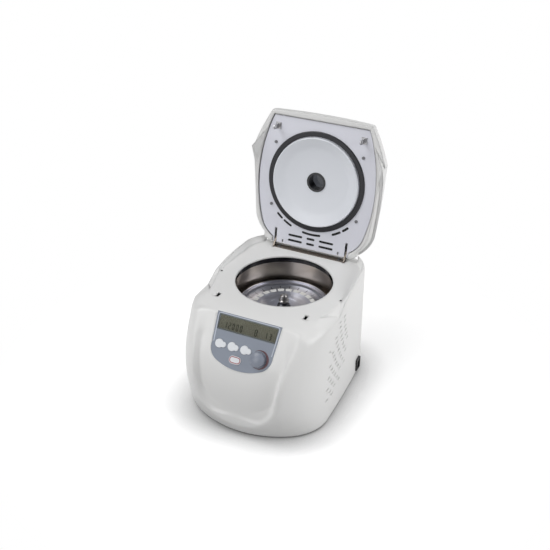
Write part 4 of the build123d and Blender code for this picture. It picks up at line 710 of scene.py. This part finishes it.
def bars(name, finish, boxes):
    """Flat bars on the panel."""
    form = bmesh.new()
    for x, y, wide, tall, low, high in boxes:
        size = Matrix.Diagonal((wide * MM, tall * MM, (high - low) * MM, 1))
        place = Matrix.Translation(Vector((x, y, (low + high) / 2)) * MM)
        bmesh.ops.create_cube(form, size=1.0, matrix=on_panel @ place @ size)
    show(name, form, finish, "base")


cell_ink_and_edge_shade = plastic("black_cells_and_painted_edge_shade", "0A0A09", 0.4, 0.5, 0.005, "020202")
# Painted shade: black bars along the display window's edges, where its recess shades the glass.
bars("display_edge_shade", cell_ink_and_edge_shade, EDGE_SHADE_BARS)
cells = []
for figure, middle, wide in FIGURES:
    for cell in LIT[figure]:
        across, up, upright = CELLS[cell]
        x = middle + across * (wide - STROKE) / 2
        y = FIGURE_Y + up * (FIGURE_TALL - STROKE) / 2
        if upright:
            cells.append((x, y, STROKE, (FIGURE_TALL - STROKE) / 2 - CELL_GAP, GLASS_TOP, FIGURE_TOP))
        else:
            cells.append((x, y, wide - STROKE - CELL_GAP, STROKE, GLASS_TOP, FIGURE_TOP))
bars("display_figures", cell_ink_and_edge_shade, cells)

# Lid moulding: white ABS with a turned-in rim and two ears, from the same kind of tool as the housing.
# It shows the same satin grain and hangs on the two hinge arms.
dress("lid_shell", white_abs, 0.8)

# Lid liner: pale lavender-grey ABS sheet, vacuum formed and punched with air slots.
# It looks smoother and cooler than the moulding, and is screwed in with four screws.
liner_abs = plastic("pale_grey_abs_sheet", "E0E1EA", 0.8, 0.4)
dress("lid_liner", liner_abs, 0.25)

# Lid backing: a dull black sheet behind the liner, so that its air slots show dark.
# One flat sheet with the liner's outline drawn in a little, a round opening for the plug and its rear
# end narrowed between the hinge arms; it lies just behind the liner's back. In mm.
BACKING_GAP = 0.9
BACKING_THICK = 0.4
BACKING_INSET = 9.0
ARM_CLEAR = 56.0
ARM_REACH = 36.0
HOLE_SPARE = 1.0
HOLE_SIDES = 64
form = bmesh.new()
form.from_mesh(cad["lid_liner"].data)
widest = max(form.faces, key=lambda face: face.calc_area())
sheet_out = max((widest.normal, -widest.normal), key=lambda way: -way.y).normalized()
spots = [vert.co.copy() for vert in form.verts]
form.free()
across = Vector((1, 0, 0))
up = sheet_out.cross(across)
level = min(spot.dot(sheet_out) for spot in spots) - BACKING_GAP * MM
plug_low, plug_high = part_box("lid_plug")
plug_mid = (plug_low + plug_high) / 2
plug_r = (plug_high.x - plug_low.x) / 2 + HOLE_SPARE * MM
centre = Vector((plug_mid.dot(across), plug_mid.dot(up)))
flat_spots = [Vector((spot.dot(across), spot.dot(up))) for spot in spots]
hull = [flat_spots[i] for i in geometry.convex_hull_2d(flat_spots)]
hull = [spot - (spot - centre).normalized() * BACKING_INSET * MM for spot in hull]
rear = -1 if up.z > 0 else 1
low_end = max(rear * (spot.y - centre.y) for spot in hull)
notch = low_end - ARM_REACH * MM
hull = [spot for spot in hull if rear * (spot.y - centre.y) < notch]
for x in (-ARM_CLEAR * MM, ARM_CLEAR * MM):
    hull += [Vector((centre.x + x, centre.y + rear * y)) for y in (notch, low_end)]
hull.sort(key=lambda spot: math.atan2(spot.y - centre.y, spot.x - centre.x))
turns = [2 * math.pi * i / HOLE_SIDES for i in range(HOLE_SIDES)]
hole = [centre + Vector((math.cos(turn), math.sin(turn))) * plug_r for turn in turns]
form = bmesh.new()
edges = []
for loop in (hull, hole):
    line = [form.verts.new(across * spot.x + up * spot.y + sheet_out * level) for spot in loop]
    edges += [form.edges.new((line[i - 1], line[i])) for i in range(len(line))]
bmesh.ops.triangle_fill(form, use_beauty=True, edges=edges)
sheet = bmesh.ops.extrude_face_region(form, geom=form.faces[:])
pulled = [part for part in sheet["geom"] if isinstance(part, bmesh.types.BMVert)]
bmesh.ops.translate(form, vec=-sheet_out * BACKING_THICK * MM, verts=pulled)
dark_backing_sheet = plastic("dull_black_backing_sheet", "101012", 1.2, 0.6, 0.05, "030303")
show("lid_backing", form, dark_backing_sheet, body_of["lid_liner"])

# Lid plug: a round dish vacuum formed from ABS sheet, which closes the chamber from above.
# It is a cooler pale grey than the moulding, smooth and satin. Its flange lies behind the liner.
plug_abs = plastic("pale_cool_grey_abs", "E2E5EB", 0.8, 0.36)
dress("lid_plug", plug_abs, 0.6)

# Lid seal: a moulded ring of navy-black EPDM with rounded edges, stuck on the liner round the plug.
# It is slightly glossy and shows one soft line of light.
seal_rubber = plastic("navy_black_epdm", "0D0D17", 0.9, 0.42, 0.02, "030305")
dress("lid_seal", seal_rubber, 0.3)

# Sight tube and window: a moulded tube of black polyamide from the plug up through the lid, closed by
# a disc of smoked acrylic. The tube is glossy; the disc mirrors faintly and darkens what it shows.
tube_plastic = plastic("glossy_black_polyamide", "2A2A2D", 0.6, 0.16, 0.02, "050505")
dress("sight_tube", tube_plastic, 0.3)
sight_pane = clear_sheet("smoked_acrylic_sight_window", "8A8C90", "7C7E82", smear_mm=9,
                         gloss_low=0.03, gloss_high=0.12)
dress("sight_glass", sight_pane, 0.1)

# Hinge arms, strip and hooks: pressed stainless steel sheet, linished along its length, on the pin and
# screwed to the lid. The long scratches pull light out across them; the hooks are brighter.
# The screws are steel with a darker passivated coat.
linished = metal("linished_stainless_sheet", "857D75", 0.4, 0.15, 0.35, "x")
bright_steel = metal("bright_stainless_strip", "B4B4B6", 0.3, 0.15, 0.35, "z")
screw_steel = metal("dark_passivated_steel", "77777A", 0.3, 0.15, 0.4, "x")
LID_STEEL = (
    (linished, ("hinge_arms", "hinge_strip")),
    (bright_steel, ("lid_hooks",)),
    (screw_steel, ("hinge_screws", "lid_screws")),
)
for finish, names in LID_STEEL:
    for name in names:
        dress(name, finish, 0.25)

# Mains socket with its fuse drawer in the rear panel, and the power switch in the right-hand wall.
# Moulded black polyamide with a dull sheen, snapped in; the three pins are nickel-plated brass.
MAINS_EDGE_MM = 0.3
for name in ("power_inlet", "fuse_drawer", "switch_frame", "power_rocker"):
    dress(name, black_plastic, MAINS_EDGE_MM)
pin_metal = metal("nickel_plated_brass", "C8C2B4", 0.22, 0.08, 0.4, "y")
dress("inlet_pins", pin_metal, MAINS_EDGE_MM)
